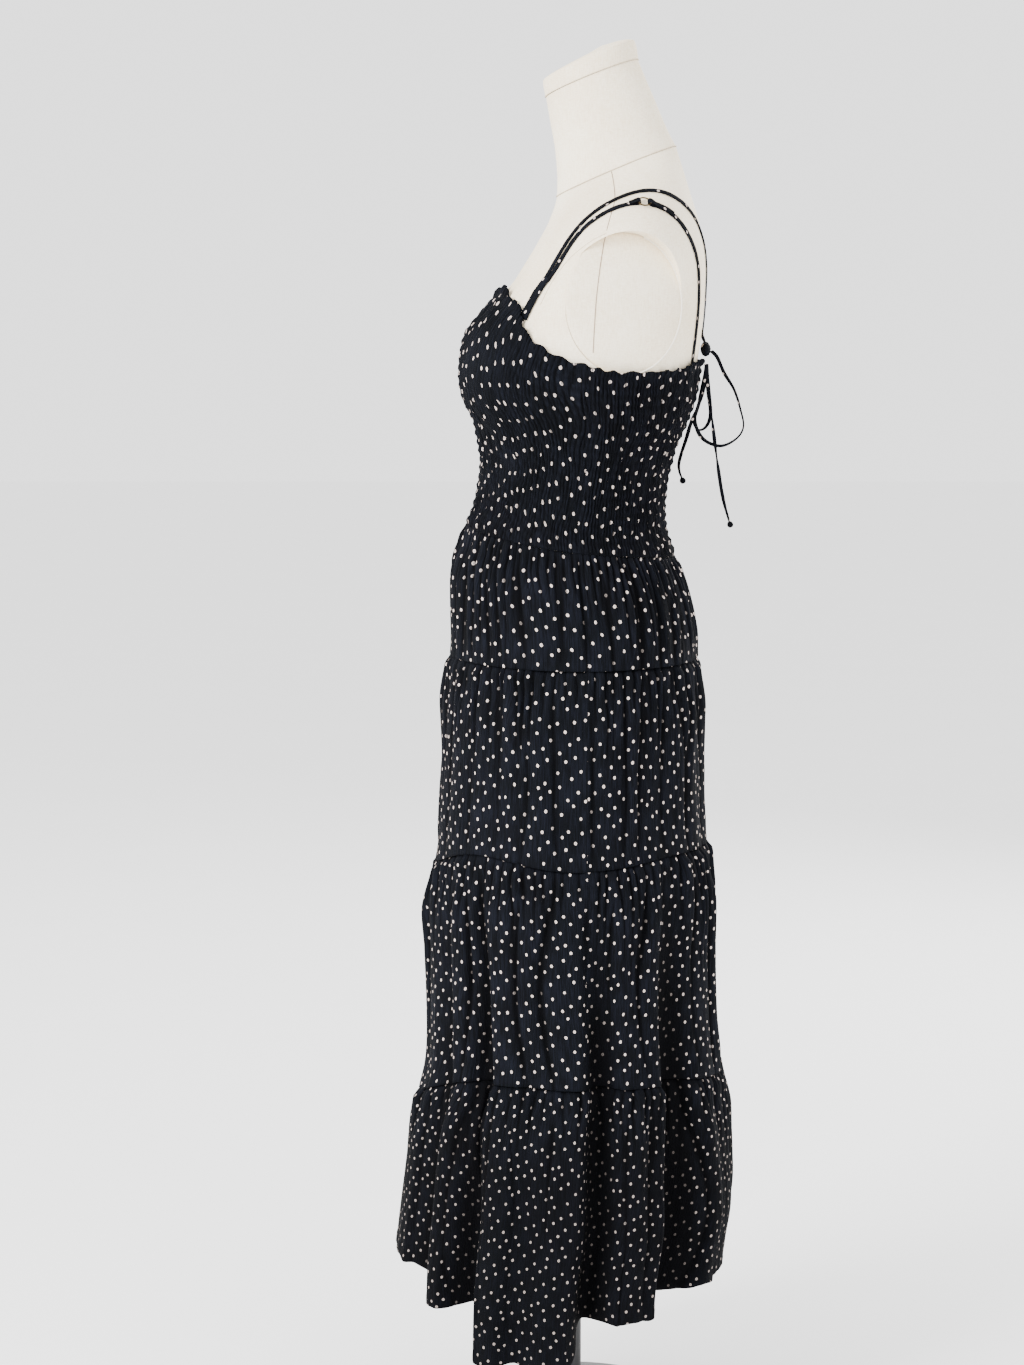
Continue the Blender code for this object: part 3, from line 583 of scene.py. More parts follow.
# Materials: a Wire is a node's output, so that shader maths is written as expressions
class Wire:
    def __init__(self, finish, socket):
        self.finish = finish
        self.socket = socket

    def worked(self, operation, first, second):
        return self.finish.add("ShaderNodeMath", {"operation": operation}, {0: first, 1: second})

    def __add__(self, other):
        return self.worked("ADD", self, other)

    def __sub__(self, other):
        return self.worked("SUBTRACT", self, other)

    def __rsub__(self, other):
        return self.worked("SUBTRACT", other, self)

    def __mul__(self, other):
        return self.worked("MULTIPLY", self, other)


class Finish:
    def __init__(self, name):
        self.material = bpy.data.materials.new(name)
        self.material.use_nodes = True
        self.tree = self.material.node_tree
        self.tree.nodes.clear()

    def add(self, kind, settings=None, sockets=None, out=0):
        node = self.tree.nodes.new(kind)
        for name, value in (settings or {}).items():
            setattr(node, name, value)
        for name, value in (sockets or {}).items():
            if isinstance(value, Wire):
                self.tree.links.new(value.socket, node.inputs[name])
            else:
                node.inputs[name].default_value = value
        return Wire(self, node.outputs[out]) if node.outputs else None

    def stepped(self, value, low, high):
        return self.add("ShaderNodeMapRange", {"interpolation_type": "SMOOTHSTEP"},
                        {"Value": value, "From Min": low, "From Max": high})

    def mixed(self, mask, first, second):
        return self.add("ShaderNodeMix", {"data_type": "RGBA"}, {0: mask, 6: first, 7: second}, 2)

    def scaled(self, vector, scale, turn=0.0):
        return self.add("ShaderNodeMapping", {},
                        {"Vector": vector, "Scale": scale, "Rotation": (0.0, 0.0, turn)})

    def noise(self, vector, scale, detail=2.0, roughness=0.5, over="3D"):
        return self.add("ShaderNodeTexNoise", {"noise_dimensions": over},
                        {"Vector": vector, "Scale": scale, "Detail": detail, "Roughness": roughness})

    def bump(self, height, distance, normal=None):
        sockets = {"Height": height, "Distance": distance}
        if normal is not None:
            sockets["Normal"] = normal
        return self.add("ShaderNodeBump", {}, sockets)

    def close(self, sockets):
        shader = self.add("ShaderNodeBsdfPrincipled", {}, sockets)
        self.add("ShaderNodeOutputMaterial", {}, {"Surface": shader})
        return self.material


def color(red, green, blue):
    def linear(value):
        value /= 255
        return value / 12.92 if value <= 0.04045 else ((value + 0.055) / 1.055) ** 2.4
    return (linear(red), linear(green), linear(blue), 1.0)


# The cloth's colours, with the tone and strength of the painted shade that darkens its creases and lower
# tiers
clothLook = {
    "ground": color(7, 8, 11), "groundLight": color(15, 17, 24),
    "dot": color(214, 199, 190), "dotEdge": color(132, 122, 120),
    "paintedShadeTone": color(3, 3, 4), "paintedShadeDepth": 0.90, "pitch": 0.0146, "scatter": 0.46,
    "radius": 0.00172, "roughness": 0.88, "sheen": 0.04, "printTurn": 0.55,
    "edgeWobble": 0.0011, "speck": (0.00030, 0.00105), "weave": 0.0009,
}


def clothFinish(name, look, dots):
    paint = Finish(name)
    at = paint.add("ShaderNodeUVMap", {"uv_map": "cloth"})
    wobble = paint.noise(at, 260.0, 1.0, over="2D") - 0.5
    spots = paint.add("ShaderNodeTexVoronoi", {"voronoi_dimensions": "2D", "feature": "F1"},
                      {"Vector": paint.scaled(at, (1.0, 1.0, 1.0), look["printTurn"]),
                       "Scale": 1.0 / look["pitch"], "Randomness": look["scatter"]})
    away = spots * look["pitch"] + wobble * look["edgeWobble"]
    # The crease attribute is painted shade: it darkens the base colour in creases, along the shirring lines,
    # in the large grooves and toward the hem
    crease = paint.add("ShaderNodeAttribute", {"attribute_name": "crease"}, {}, 2)
    dot = (1 - paint.stepped(away, look["radius"] * 0.90, look["radius"] * 1.08)) * dots
    rim = paint.stepped(away, look["radius"] * 0.80, look["radius"])
    speck = 1 - paint.stepped(away, *look["speck"])
    # The ground is lighter along the raised crinkle streaks, a painted highlight, and in random patches of
    # tone
    streaks = paint.noise(paint.scaled(at, (1.0, 0.07, 1.0)), 620.0, 3.0, 0.6, "2D")
    patches = paint.noise(at, 28.0, 2.0, over="2D")
    light = paint.stepped(streaks * 0.7 + patches * 0.3, 0.38, 0.68)
    ground = paint.mixed(light, look["ground"], look["groundLight"])
    white = paint.mixed(rim * 0.5 + speck * 0.9, look["dot"], look["dotEdge"])
    weave = paint.noise(at, 2600.0, 2.0, 0.6, "2D")
    height = streaks * 1.0 + weave * 0.25
    dotted = paint.mixed(dot, ground, white)
    return paint.close({
        "Base Color": paint.mixed(crease * look["paintedShadeDepth"], dotted, look["paintedShadeTone"]),
        "Normal": paint.bump(height, look["weave"]),
        "Roughness": look["roughness"],
        "Specular IOR Level": look["sheen"],
    })


linenLook = {
    "thread": color(248, 237, 214),
    "threadDark": color(230, 213, 184),
    "roughness": 0.9,
}


def linenFinish(name, look):
    paint = Finish(name)
    at = paint.add("ShaderNodeTexCoord", {}, {}, 3)
    level = paint.noise(paint.scaled(at, (0.25, 0.25, 1.0)), 900.0, 2.0, 0.6)
    upright = paint.noise(paint.scaled(at, (1.0, 1.0, 0.12)), 800.0, 2.0, 0.6)
    cloudy = paint.noise(at, 9.0, 3.0)
    weave = level * 0.5 + upright * 0.5
    tone = paint.stepped(weave * 0.6 + cloudy * 0.4, 0.36, 0.62)
    return paint.close({
        "Base Color": paint.mixed(tone, look["threadDark"], look["thread"]),
        "Normal": paint.bump(weave, 0.0006),
        "Roughness": look["roughness"],
        "Specular IOR Level": 0.2,
    })


def threadFinish(name, first, second, scale):
    paint = Finish(name)
    at = paint.add("ShaderNodeTexCoord", {}, {}, 3)
    twist = paint.noise(at, scale, 2.0)
    return paint.close({
        "Base Color": paint.mixed(paint.stepped(twist, 0.35, 0.65), first, second),
        "Normal": paint.bump(twist, 0.0003),
        "Roughness": 0.8,
    })


def metalFinish(name, base, worn, roughness, metallic, grain):
    paint = Finish(name)
    at = paint.add("ShaderNodeTexCoord", {}, {}, 3)
    marks = paint.noise(at, grain, 4.0, 0.6)
    dull = paint.noise(at, grain / 12.0, 3.0)
    return paint.close({
        "Base Color": paint.mixed(paint.stepped(dull, 0.35, 0.75), base, worn),
        "Roughness": dull * 0.16 + (roughness - 0.08),
        "Metallic": metallic,
        "Normal": paint.bump(marks, 0.00012),
    })


dressCloth = clothFinish("dressCloth", clothLook, 1.0)
insideLook = dict(clothLook, ground=color(8, 8, 11), groundLight=color(14, 15, 19))
strapClothLook = dict(clothLook, pitch=0.0170, radius=0.0016)
dressInside = clothFinish("dressClothInside", insideLook, 0.22)
strapCloth = clothFinish("strapCloth", strapClothLook, 1.0)
formLinen = linenFinish("formLinen", linenLook)
pipingCord = threadFinish("formPiping", color(246, 240, 228), color(228, 218, 200), 1500.0)
sideSeamThread = threadFinish("formSideSeam", color(150, 124, 104), color(108, 86, 70), 1800.0)
seamThread = threadFinish("formSeam", color(214, 200, 176), color(188, 170, 144), 1800.0)
ringMetal = metalFinish("ringMetal", color(84, 70, 48), color(58, 47, 31), 0.36, 1.0, 2400.0)
standPaint = metalFinish("standPaint", color(34, 34, 36), color(52, 51, 50), 0.42, 0.35, 900.0)
print("finishes made")

# Camera at the photograph's viewing angle
cameraLook = {"place": (3.04, -0.0655, 1.13), "pitch": 6.0, "lens": 75.0, "sensor": 36.0}
pitch = math.radians(cameraLook["pitch"])
right = Vector((0.0, 1.0, 0.0))
ahead = Vector((-math.cos(pitch), 0.0, -math.sin(pitch)))
above = right.cross(ahead)
lensData = bpy.data.cameras.new("camera")
lensData.lens = cameraLook["lens"]
lensData.sensor_width = cameraLook["sensor"]
lensData.sensor_fit = "AUTO"
camera = linked("camera", lensData)
turnMatrix = Matrix((right, above, -ahead)).transposed().to_4x4()
camera.matrix_world = Matrix.Translation(cameraLook["place"]) @ turnMatrix
bpy.context.scene.camera = camera

# The bow: two loops and two free ends under one knot
bowLook = {
    "width": 0.0041,
    "thickness": 0.0019,
    "knot": (0.0, 0.1400, 1.0712 + raised),
    "knotRadii": (0.0122, 0.0052, 0.0078),
    "intoKnot": 0.10,
    "spacing": 0.0016,
    "sway": (0.6, 7.0),
    "uneven": (0.05, 210.0),
    "sides": 14,
    "roundness": 0.75,
    "twists": {"bowLoopLeft": 2.3, "bowLoopRight": 1.6, "tieEndLong": 2.8, "tieEndShort": 1.9},
}


tipLook = {"radius": 0.0033, "half": 0.0034, "rings": 13, "round": 24, "crease": 0.12, "uneven": 0.02}
knotLook = {"rings": 33, "round": 56, "wrap": 0.34, "wrapOut": 0.17, "size": 0.86, "folds": (0.05, 0.03)}


def makeTip(name, place, along, seed):
    look = tipLook
    rng = random.Random(seed)
    along = Vector(along)
    side = along.orthogonal().normalized()
    other = along.cross(side)
    rings = []
    for k in range(look["rings"]):
        t = k / (look["rings"] - 1)
        a = math.pi * (t * 0.96 + 0.02)
        ring = []
        for j in range(look["round"]):
            b = 2 * math.pi * j / look["round"]
            crease = 1.0 - look["crease"] * max(0.0, math.cos(2 * b + 5.0 * t)) ** 3
            uneven = 1.0 + rng.uniform(-look["uneven"], look["uneven"])
            radius = look["radius"] * math.sin(a) ** 0.8 * crease * uneven
            spot = Vector(place) - along * (look["half"] * math.cos(a))
            spot = spot + (side * math.cos(b) + other * math.sin(b)) * radius
            ring.append(tuple(spot))
        rings.append(ring)
    made = stacked(name, rings, dressCloth, 70.0)
    printed(made, lambda p: (p.x + p.y, p.z))
    return made


def makeTie(name, seed):
    look = bowLook
    points = np.array(bowLines[name]) + (0.0, 0.0, raised)
    centre = np.array(look["knot"])
    for k in (0, -1) if "Loop" in name else (0,):
        points[k] = points[k] + (centre - points[k]) * look["intoKnot"]
    path, run = alongPath(points, look["spacing"])
    ahead, side, other = frames(path)
    share = run / run[-1]
    sway, swayTurns = look["sway"]
    twist = np.pi * look["twists"][name] * share + sway * np.sin(swayTurns * share + seed)
    face = side * np.cos(twist)[:, None] + other * np.sin(twist)[:, None]
    uneven, unevenTurns = look["uneven"]
    width = look["width"] * (1.0 + uneven * np.sin(run * unevenTurns + seed))
    tie = band(name, path, face, width, look["thickness"], strapCloth, run + 0.31 * seed,
               look["sides"], look["roundness"])
    standsFor(tie)
    if name.startswith("tieEnd"):
        along = (path[-1] - path[-2]) / np.linalg.norm(path[-1] - path[-2])
        tip = makeTip(name.replace("tieEnd", "tieTip"), path[-1] + along * tipLook["half"], along, seed)
        standsFor(tip)


def makeKnot():
    look = knotLook
    a = np.pi * (np.arange(look["rings"]) + 0.5) / look["rings"]
    b = roundTheCircle(look["round"])
    a, b = np.meshgrid(a, b, indexing="ij")
    x, y, z = np.sin(a) * np.cos(b), np.sin(a) * np.sin(b), np.cos(a)
    wrap = np.exp(-((x * 0.8 + z * 0.25) / look["wrap"]) ** 2)
    long, cross = look["folds"]
    folds = long * np.sin(9.0 * x + 3.0 * z) + cross * np.sin(17.0 * z + 4.0 * x)
    size = look["size"] + look["wrapOut"] * wrap + folds * (0.6 + 0.4 * wrap)
    way = np.stack([x, y, z], axis=-1)
    points = np.array(bowLook["knot"]) + way * np.array(bowLook["knotRadii"]) * size[..., None]
    knot = stacked("bowKnot", list(points), dressCloth, 70.0)
    printed(knot, lambda p: (p.x + 0.5 * p.y + 0.004, p.z + 0.003))
    standsFor(knot)


for number, name in enumerate(bowLines):
    makeTie(name, number + 1)
makeKnot()
print("bow tied")

# Dress form
formLook = {
    "plateMiddle": Vector((0.1310, 0.0475, 1.1150 + raised)), "plateWide": 0.0640,
    "plateHigh": 0.0725, "plateYaw": 20.0, "plateLean": 0.5,
    "plateRim": [(0.985, 0.0003), (0.985, 0.0010), (0.97, 0.0018)],
    "plateDome": (0.93, 0.86, 0.76, 0.64, 0.50, 0.34, 0.17, 0.05), "domeHeight": 0.0104,
    "domeShape": 0.95, "seatDepth": 0.06, "pipingRadius": 0.0010, "pipingFrom": -88,
    "pipingTo": 72, "seamRadius": 0.00045, "seamLift": 0.0001, "seamSpacing": 0.003,
}
formSeams = {
    # y, z down the side from the neck, and round the front of the arm
    "formSideSeam": [
        (0.0370, 1.2560), (0.0390, 1.2400), (0.0390, 1.2200), (0.0330, 1.2000), (0.0280, 1.1800),
        (0.0230, 1.1500), (0.0195, 1.1200), (0.0175, 1.0900), (0.0165, 1.0660),
    ],
    "formArmSeam": [
        (-0.0370, 1.1140), (-0.0290, 1.1300), (-0.0200, 1.1450), (-0.0080, 1.1600), (0.0060, 1.1720),
        (0.0180, 1.1800), (0.0290, 1.1850),
    ],
}
roundTurns = 360.0 * np.arange(144) / 144


def ringsOf(sections, parts):
    fine = throughRows(lifted(sections, [0, 1]), parts)
    return [ringPoint(row, roundTurns) for row in fine]


torso = stacked("formTorso", ringsOf(formSections, 4), formLinen, 40.0)
neck = stacked("formNeck", ringsOf(neckSections, 6), formLinen, 40.0)
cap = stacked("formNeckCap", ringsOf(capSections, 6), formLinen, 60.0)
for piece in (torso, neck, cap):
    standsFor(piece)

yaw = math.radians(formLook["plateYaw"])
lean = math.radians(formLook["plateLean"])
plateFace = Vector((math.cos(yaw) * math.cos(lean), math.sin(yaw) * math.cos(lean), math.sin(lean)))
plateAcross = Vector((-math.sin(yaw), math.cos(yaw), 0.0))
plateUp = plateFace.cross(plateAcross)


def oval(side, scale, rise, count=72):
    # A ring of the arm plate, its place told by its share of the full size and its rise from the seat
    a = roundTheCircle(count)
    spots = np.array(formLook["plateMiddle"] + plateFace * rise)
    spots = spots + np.outer(formLook["plateWide"] * scale * np.cos(a), plateAcross)
    spots = spots + np.outer(formLook["plateHigh"] * scale * np.sin(a), plateUp)
    return spots * (side, 1.0, 1.0)


def cutSeat(side):
    cutter = stacked("seatCutter", [oval(side, 1.0, 0.0), oval(side, 1.0, formLook["seatDepth"])], formLinen)
    cut = torso.modifiers.new("seat", "BOOLEAN")
    cut.operation = "DIFFERENCE"
    cut.solver = "EXACT"
    cut.object = cutter
    seen = torso.evaluated_get(bpy.context.evaluated_depsgraph_get())
    newMesh = bpy.data.meshes.new_from_object(seen)
    torso.modifiers.clear()
    torso.data = newMesh
    bpy.data.objects.remove(cutter, do_unlink=True)


for side in (1, -1):
    cutSeat(side)
torso.data.shade_smooth()
torso.data.set_sharp_from_angle(angle=math.radians(35))
torsoTree = treeOf(torso)


def pipe(name, path, radius, finish, loop=False):
    path = np.asarray(path, dtype=float)
    _, side, _ = frames(path)
    made = band(name, path, side, 2 * radius, 2 * radius, finish, runOf(path), 8, 1.0, loop)
    return made


def laidSeam(side, points, plateTree):
    # The seam's points brought in from the side onto the torso or the arm plate
    line, _ = alongPath(np.array([(0.0, y, z + raised) for y, z in points]), formLook["seamSpacing"])
    laid = []
    for _, y, z in line:
        hits = []
        for tree in (torsoTree, plateTree):
            hit = tree.ray_cast(Vector((side * 0.4, y, z)), Vector((-side, 0.0, 0.0)))[0]
            if hit is not None:
                hits.append(side * hit.x)
        if hits:
            laid.append((side * (max(hits) + formLook["seamLift"]), y, z))
    return eased(np.array(laid), 3)


def makeArm(side, label):
    look = formLook
    steps = list(look["plateRim"])
    rimScale, rimRise = steps[-1]
    for s in look["plateDome"]:
        steps.append((s, rimRise + look["domeHeight"] * (1 - (s / rimScale) ** 2) ** look["domeShape"]))
    rings = [oval(side, scale, rise) for scale, rise in steps]
    plate = stacked("formArmPlate" + label, rings, formLinen, 40.0)
    standsFor(plate)
    edge = oval(side, 0.995, 0.0012, 360)
    picked = [edge[k % 360] for k in range(look["pipingFrom"], look["pipingTo"], 2)]
    pipe("formArmPiping" + label, picked, look["pipingRadius"], pipingCord)
    plateTree = treeOf(plate)
    for name, points in formSeams.items():
        thread = sideSeamThread if name == "formSideSeam" else seamThread
        pipe(name + label, laidSeam(side, points, plateTree), look["seamRadius"], thread)


makeArm(1, "Left")
makeArm(-1, "Right")
for name, sections, grow in (("formNeckSeam", neckSections, 0.0004), ("formCapSeam", capSections, 0.0003)):
    row = lifted(sections[:1], [0, 1])[0]
    ring = ringPoint(row, 360.0 * np.arange(120) / 120)
    middle = ring.mean(axis=0)
    ring = middle + (ring - middle) * (1.0 + grow / 0.05)
    pipe(name, ring, formLook["seamRadius"], seamThread, True)
print("form made")

# Smocked bodice
bodiceLook = {
    "columns": 420, "rows": 92, "sideFade": 2.2, "puckers": 92, "puckerHeight": 0.0028,
    "puckerShape": 0.62, "puckerSway": (0.55, 0.30), "strength": (0.75, 0.45),
    "finer": 0.36, "crepe": 0.00035, "frill": 0.0080, "frillOut": 0.0009,
    "flare": (0.0016, 0.0010), "scallop": (0.0011, 0.0007), "shirringStep": 0.0095,
    "pinchShare": 0.42, "pinchDepth": 0.00045, "paintedPinchShade": 0.45, "bustCalm": 0.78,
    "sunk": 0.0003, "thickness": 0.0006, "off": 0.0039, "dotScale": 0.87, "fullness": 1.15,
}


def panelGrid(front, look):
    # Turn and share of the height at each point, and how clear it is of the side seams
    start, end = (-sideTurn, sideTurn) if front else (sideTurn, 360.0 - sideTurn)
    turns = np.linspace(start, end, look["columns"] + 1)
    turn, row = np.meshgrid(turns, np.linspace(0.0, 1.0, look["rows"] + 1), indexing="xy")
    return turn, row, smooth(np.minimum(turn - start, end - turn), 0.0, look["sideFade"])


def flatCoordinates(points, flatWidth, drop, scale, shift):
    # The print is laid on the flat cloth, so that gathers and folds squeeze it as they do the cloth
    step = np.linalg.norm(np.diff(points, axis=1), axis=2)
    run = np.concatenate([np.zeros((len(points), 1)), np.cumsum(step, axis=1)], axis=1)
    share = run / run[:, -1:]
    padded = np.pad(share, ((2, 2), (0, 0)), mode="edge")
    share = sum(padded[k:k + len(share)] * 0.2 for k in range(5))
    u = share * flatWidth * scale + shift
    return np.stack([u, drop * scale + shift * 1.7], axis=-1)


def sewn(name, points, drop, tall, typical, look, shift, crease):
    # A panel of cloth with its print, its node and its flat size
    runs = np.linalg.norm(np.diff(points, axis=1), axis=2).sum(axis=1)
    width = float(typical(runs)) * look["fullness"]
    uvs = flatCoordinates(points, width, drop, look["dotScale"], shift)
    made = cloth(name, points, uvs, [dressCloth, dressInside], look["thickness"], crease)
    standsFor(made)
    return made


def frillWave(turn, shift):
    return np.sin(turn * 0.78 + 1.7 * np.sin(turn * 0.13) + shift)


def smocking(turn, row, drop, z, edge, seed):
    # How far the cloth stands out at each point, and how much painted shade its shirring lines get
    look = bodiceLook
    start, end = turn[0, 0], turn[0, -1]
    phase = look["puckers"] * (turn - start) / (end - start)
    slow, quick = look["puckerSway"]
    phase = phase + slow * softNoise(turn / 7.0, drop / 0.030, seed)
    phase = phase + quick * softNoise(turn / 2.6, drop / 0.016, seed + 1)
    wave = np.abs(np.sin(np.pi * phase)) ** look["puckerShape"]
    finer = softNoise(phase * 1.9, drop / 0.020, seed + 5)
    least, more = look["strength"]
    strength = least + more * softNoise(phase * 0.6, drop / 0.022, seed + 2)
    line = (drop - look["frill"]) / look["shirringStep"]
    line = line + 0.12 * softNoise(turn / 11.0, drop / 0.05, seed + 4)
    pinch = 0.5 + 0.5 * np.cos(2 * np.pi * line)
    bust = np.exp(-((z - 1.150) / 0.050) ** 2) * np.exp(-((foldedTurn(turn) - 36.0) / 27.0) ** 2)
    calm = 1.0 - look["bustCalm"] * bust
    lift = look["puckerHeight"] * (wave * strength + look["finer"] * finer)
    lift = lift * calm * (1.0 - look["pinchShare"] * pinch)
    lift = lift + look["crepe"] * softNoise(turn / 0.8, drop / 0.0055, seed + 7) * calm
    lift = lift - look["pinchDepth"] * pinch * calm
    lift = lift * (1.0 - 0.5 * np.exp(-((drop - look["frill"]) / 0.0025) ** 2))
    wide, small = look["flare"]
    flare = wide * frillWave(turn, 1.2) + small * softNoise(turn / 1.6, 0 * turn, seed + 8)
    ruffle = np.clip(1.0 - drop / look["frill"], 0.0, 1.0)
    lift = lift + ruffle ** 1.3 * (look["frillOut"] + flare)
    lift = lift * edge * (1.0 - 0.5 * smooth(row, 0.985, 1.0)) - look["sunk"]
    return lift, look["paintedPinchShade"] * pinch * calm * np.clip(row * 12, 0.0, 1.0)


def makeBodice(name, front, seed):
    look = bodiceLook
    turn, row, edge = panelGrid(front, look)
    top = necklineZ(turn)
    bottom = seamZ(0, turn)
    wide, small = look["scallop"]
    scallop = wide * frillWave(turn, 0.0) + small * softNoise(turn / 2.3, 0 * turn, seed + 3)
    z = top + scallop * (1.0 - row) ** 8 + (bottom - top) * row
    drop = (top - bottom) * row
    lift, shade = smocking(turn, row, drop, z, edge, seed)
    face = outward(formAt, turn, z)
    points = formAt(turn, z) + face * look["off"] + face * lift[..., None]
    # Painted shade in the puckers' creases and along the shirring lines
    crease = np.maximum(paintedCreaseShade(lift, 2, 0.0006), shade)
    return sewn(name, points, drop, top[0] - bottom[0], np.median, look, 0.37 * seed, crease)


bodice = [makeBodice("bodiceFront", True, 3), makeBodice("bodiceBack", False, 4)]

# Gathered tiers
tierLook = [
    {"columns": 300, "rows": 40, "gathers": 50, "height": 0.0062, "reach": (0.030, 0.120), "folds": 15,
     "foldHeight": 0.0056, "dotScale": 0.96, "seamLift": 0.0000},
    {"columns": 320, "rows": 52, "gathers": 40, "height": 0.0076, "reach": (0.020, 0.090), "folds": 13,
     "foldHeight": 0.0082, "dotScale": 1.0, "seamLift": 0.0012},
    {"columns": 340, "rows": 54, "gathers": 42, "height": 0.0080, "reach": (0.020, 0.095), "folds": 14,
     "foldHeight": 0.0096, "dotScale": 1.08, "seamLift": 0.0016},
    {"columns": 350, "rows": 54, "gathers": 44, "height": 0.0080, "reach": (0.020, 0.090), "folds": 15,
     "foldHeight": 0.0100, "dotScale": 1.18, "seamLift": 0.0016},
]
gatherLook = {
    "thickness": 0.0006, "fullness": 1.06, "sideFade": 2.5, "sway": (1.9, 4.0),
    "foldReach": (0.12, 0.42), "crepe": 0.00045, "pulled": 0.0012, "hemWave": 0.0022,
    "hemFold": (0.011, 0.0015, 0.0005), "sunk": 0.0018, "paintedGrooveShade": (0.030, 0.06, 0.62),
    "paintedHemShade": (0.050, 0.170, 0.62),
}


def unevenMarks(turn, count, seed, spread=0.34):
    start, end = turn[0, 0], turn[0, -1]
    rng = random.Random(seed)
    step = (end - start) / count
    marks = [start + step * k + (rng.uniform(-spread, spread) * step if 0 < k < count else 0.0)
             for k in range(count + 1)]
    return np.array(marks)


def ridges(turn, marks, seed, low, high):
    # Rounded ridges between marks, uneven in strength, and how far down each of them reaches
    rng = random.Random(seed)
    count = len(marks) - 1
    strength = np.array([rng.uniform(0.35, 1.15) for _ in range(count)])
    reach = np.array([rng.uniform(low, high) for _ in range(count)])
    k = np.clip(np.searchsorted(marks, turn, side="right") - 1, 0, count - 1)
    t = np.clip((turn - marks[k]) / (marks[k + 1] - marks[k]), 0.0, 1.0)
    return np.sin(np.pi * t) ** 0.55 * strength[k], reach[k]


def tierLift(level, look, turn, drop, left, edge, seed):
    # How far the cloth stands out: fine gathers under the seam, wider folds below, and the hem or next seam
    fineSway, wideSway = look["sway"]
    sway = fineSway * softNoise(turn / 6.0, drop / 0.060, seed) * smooth(drop, 0.0, 0.03) * edge
    marks = unevenMarks(turn, look["gathers"], seed)
    fine, reach = ridges(turn + sway, marks, seed + 1, *look["reach"])
    started = 0.40 + 0.60 * smooth(drop, 0.0, 0.012)
    fine = fine * started * np.exp(-(drop / reach) ** 1.6)
    sway = wideSway * softNoise(turn / 14.0, drop / 0.130, seed + 2) * edge
    marks = unevenMarks(turn, look["folds"], seed + 3)
    wide, length = ridges(turn + sway, marks, seed + 4, *look["foldReach"])
    wide = wide * smooth(drop, 0.004, 0.060) * np.exp(-(drop / length) ** 2)
    small = softNoise(turn / 0.9, drop / 0.055, seed + 5) * smooth(drop, 0.0, 0.010)
    lift = look["height"] * fine + look["foldHeight"] * (wide - 0.35) + look["crepe"] * small
    lift = lift * edge
    if level < 3:
        lift = lift * (0.55 + 0.45 * smooth(left, 0.0, 0.030)) - 0.0002 * np.exp(-left / 0.003)
        nextMarks = unevenMarks(turn, tierLook[level + 1]["gathers"], seed + 11)
        pulled, _ = ridges(turn, nextMarks, seed + 12, 0.1, 0.2)
        lift = lift + look["pulled"] * pulled * np.exp(-left / 0.009) * edge
    else:
        tall, step, out = look["hemFold"]
        lift = lift + out * smooth(tall - left, 0.0, step)
    if level:
        lift = lift + look["seamLift"] * smooth(drop, 0.0, 0.010) * np.exp(-(drop / 0.05) ** 2)
        lift = lift - 0.0004 * np.exp(-drop / 0.0022)
    else:
        lift = lift + 0.0003 * (1 - smooth(drop, 0.0, 0.012))
    return lift - look["sunk"]


def paintedTierShade(look, turn, z, lift):
    # Painted shade: dark in the gathers, the folds and the large grooves, and darker toward the hem
    fine = paintedCreaseShade(lift, 3, look["height"] * 0.17)
    crease = np.maximum(fine, 0.9 * paintedCreaseShade(lift, 12, look["foldHeight"] * 0.30))
    _, flute = fluteAt(turn)
    top = fluteLook["top"]
    grown = np.clip((top - z) / (top - seamZ(4, turn)), 0.0, 1.0) ** 0.8
    depth, low, high = look["paintedGrooveShade"]
    crease = np.maximum(crease, smooth(flute * grown / depth, low, high))
    # Painted shade that darkens the lowest tier toward the hem
    above, reach, most = look["paintedHemShade"]
    return np.maximum(crease, most * smooth(seamZ(3, turn) + above - z, 0.0, reach))


def makeTier(level, front, seed):
    look = {**gatherLook, **tierLook[level]}
    turn, row, edge = panelGrid(front, look)
    top = seamZ(level, turn) + (0.0004 if level else 0.0)
    bottom = seamZ(level + 1, turn)
    if level == 3:
        bottom = bottom + look["hemWave"] * softNoise(turn / 4.0, 0 * turn, seed + 9) * edge
    z = top + (bottom - top) * row
    drop = top - z
    lift = tierLift(level, look, turn, drop, z - bottom, edge, seed)
    points = skirtAt(turn, z) + outward(skirtAt, turn, z) * lift[..., None]
    name = "skirtTier%d%s" % (level + 1, "Front" if front else "Back")
    return sewn(name, points, drop, top[0] - bottom[0], np.max, look, 0.23 * seed,
                paintedTierShade(look, turn, z, lift))


tiersMade = []
for level in range(4):
    tiersMade += [makeTier(level, True, 31 + 7 * level), makeTier(level, False, 32 + 7 * level)]
print("tiers hung")

# Straps laid on the form
strapLook = {
    "width": 0.0062, "thickness": 0.0015, "tabWidth": 0.0124, "lift": 0.0011,
    "ringRadius": 0.0062, "ringWire": 0.0008, "ringTurn": 0.0021, "ringShare": 0.39,
    "frontTail": 0.009, "backTail": 0.028, "tailRise": 0.0015, "tabLift": 0.0004,
    "tabSpacing": 0.0022, "spacing": 0.0024, "tieShare": 0.94, "backShare": 1.06,
    "sides": 14, "roundness": 0.55, "ringSteps": 48,
}


def onForm(point, lift):
    place, normal, _, _ = torsoTree.find_nearest(Vector(point))
    return np.array(place + normal * lift), np.array(normal)


def laidLine(points, spacing, lift, rounds=10):
    # A route laid down on the torso, and the way it faces at each point
    path, _ = alongPath(np.array(points) + (0.0, 0.0, raised), spacing)
    path = eased(np.array([onForm(p, lift)[0] for p in path]), rounds)
    both = [onForm(p, lift) for p in path]
    faces = eased(np.array([n for _, n in both]), 4)
    return np.array([p for p, _ in both]), unit(faces)


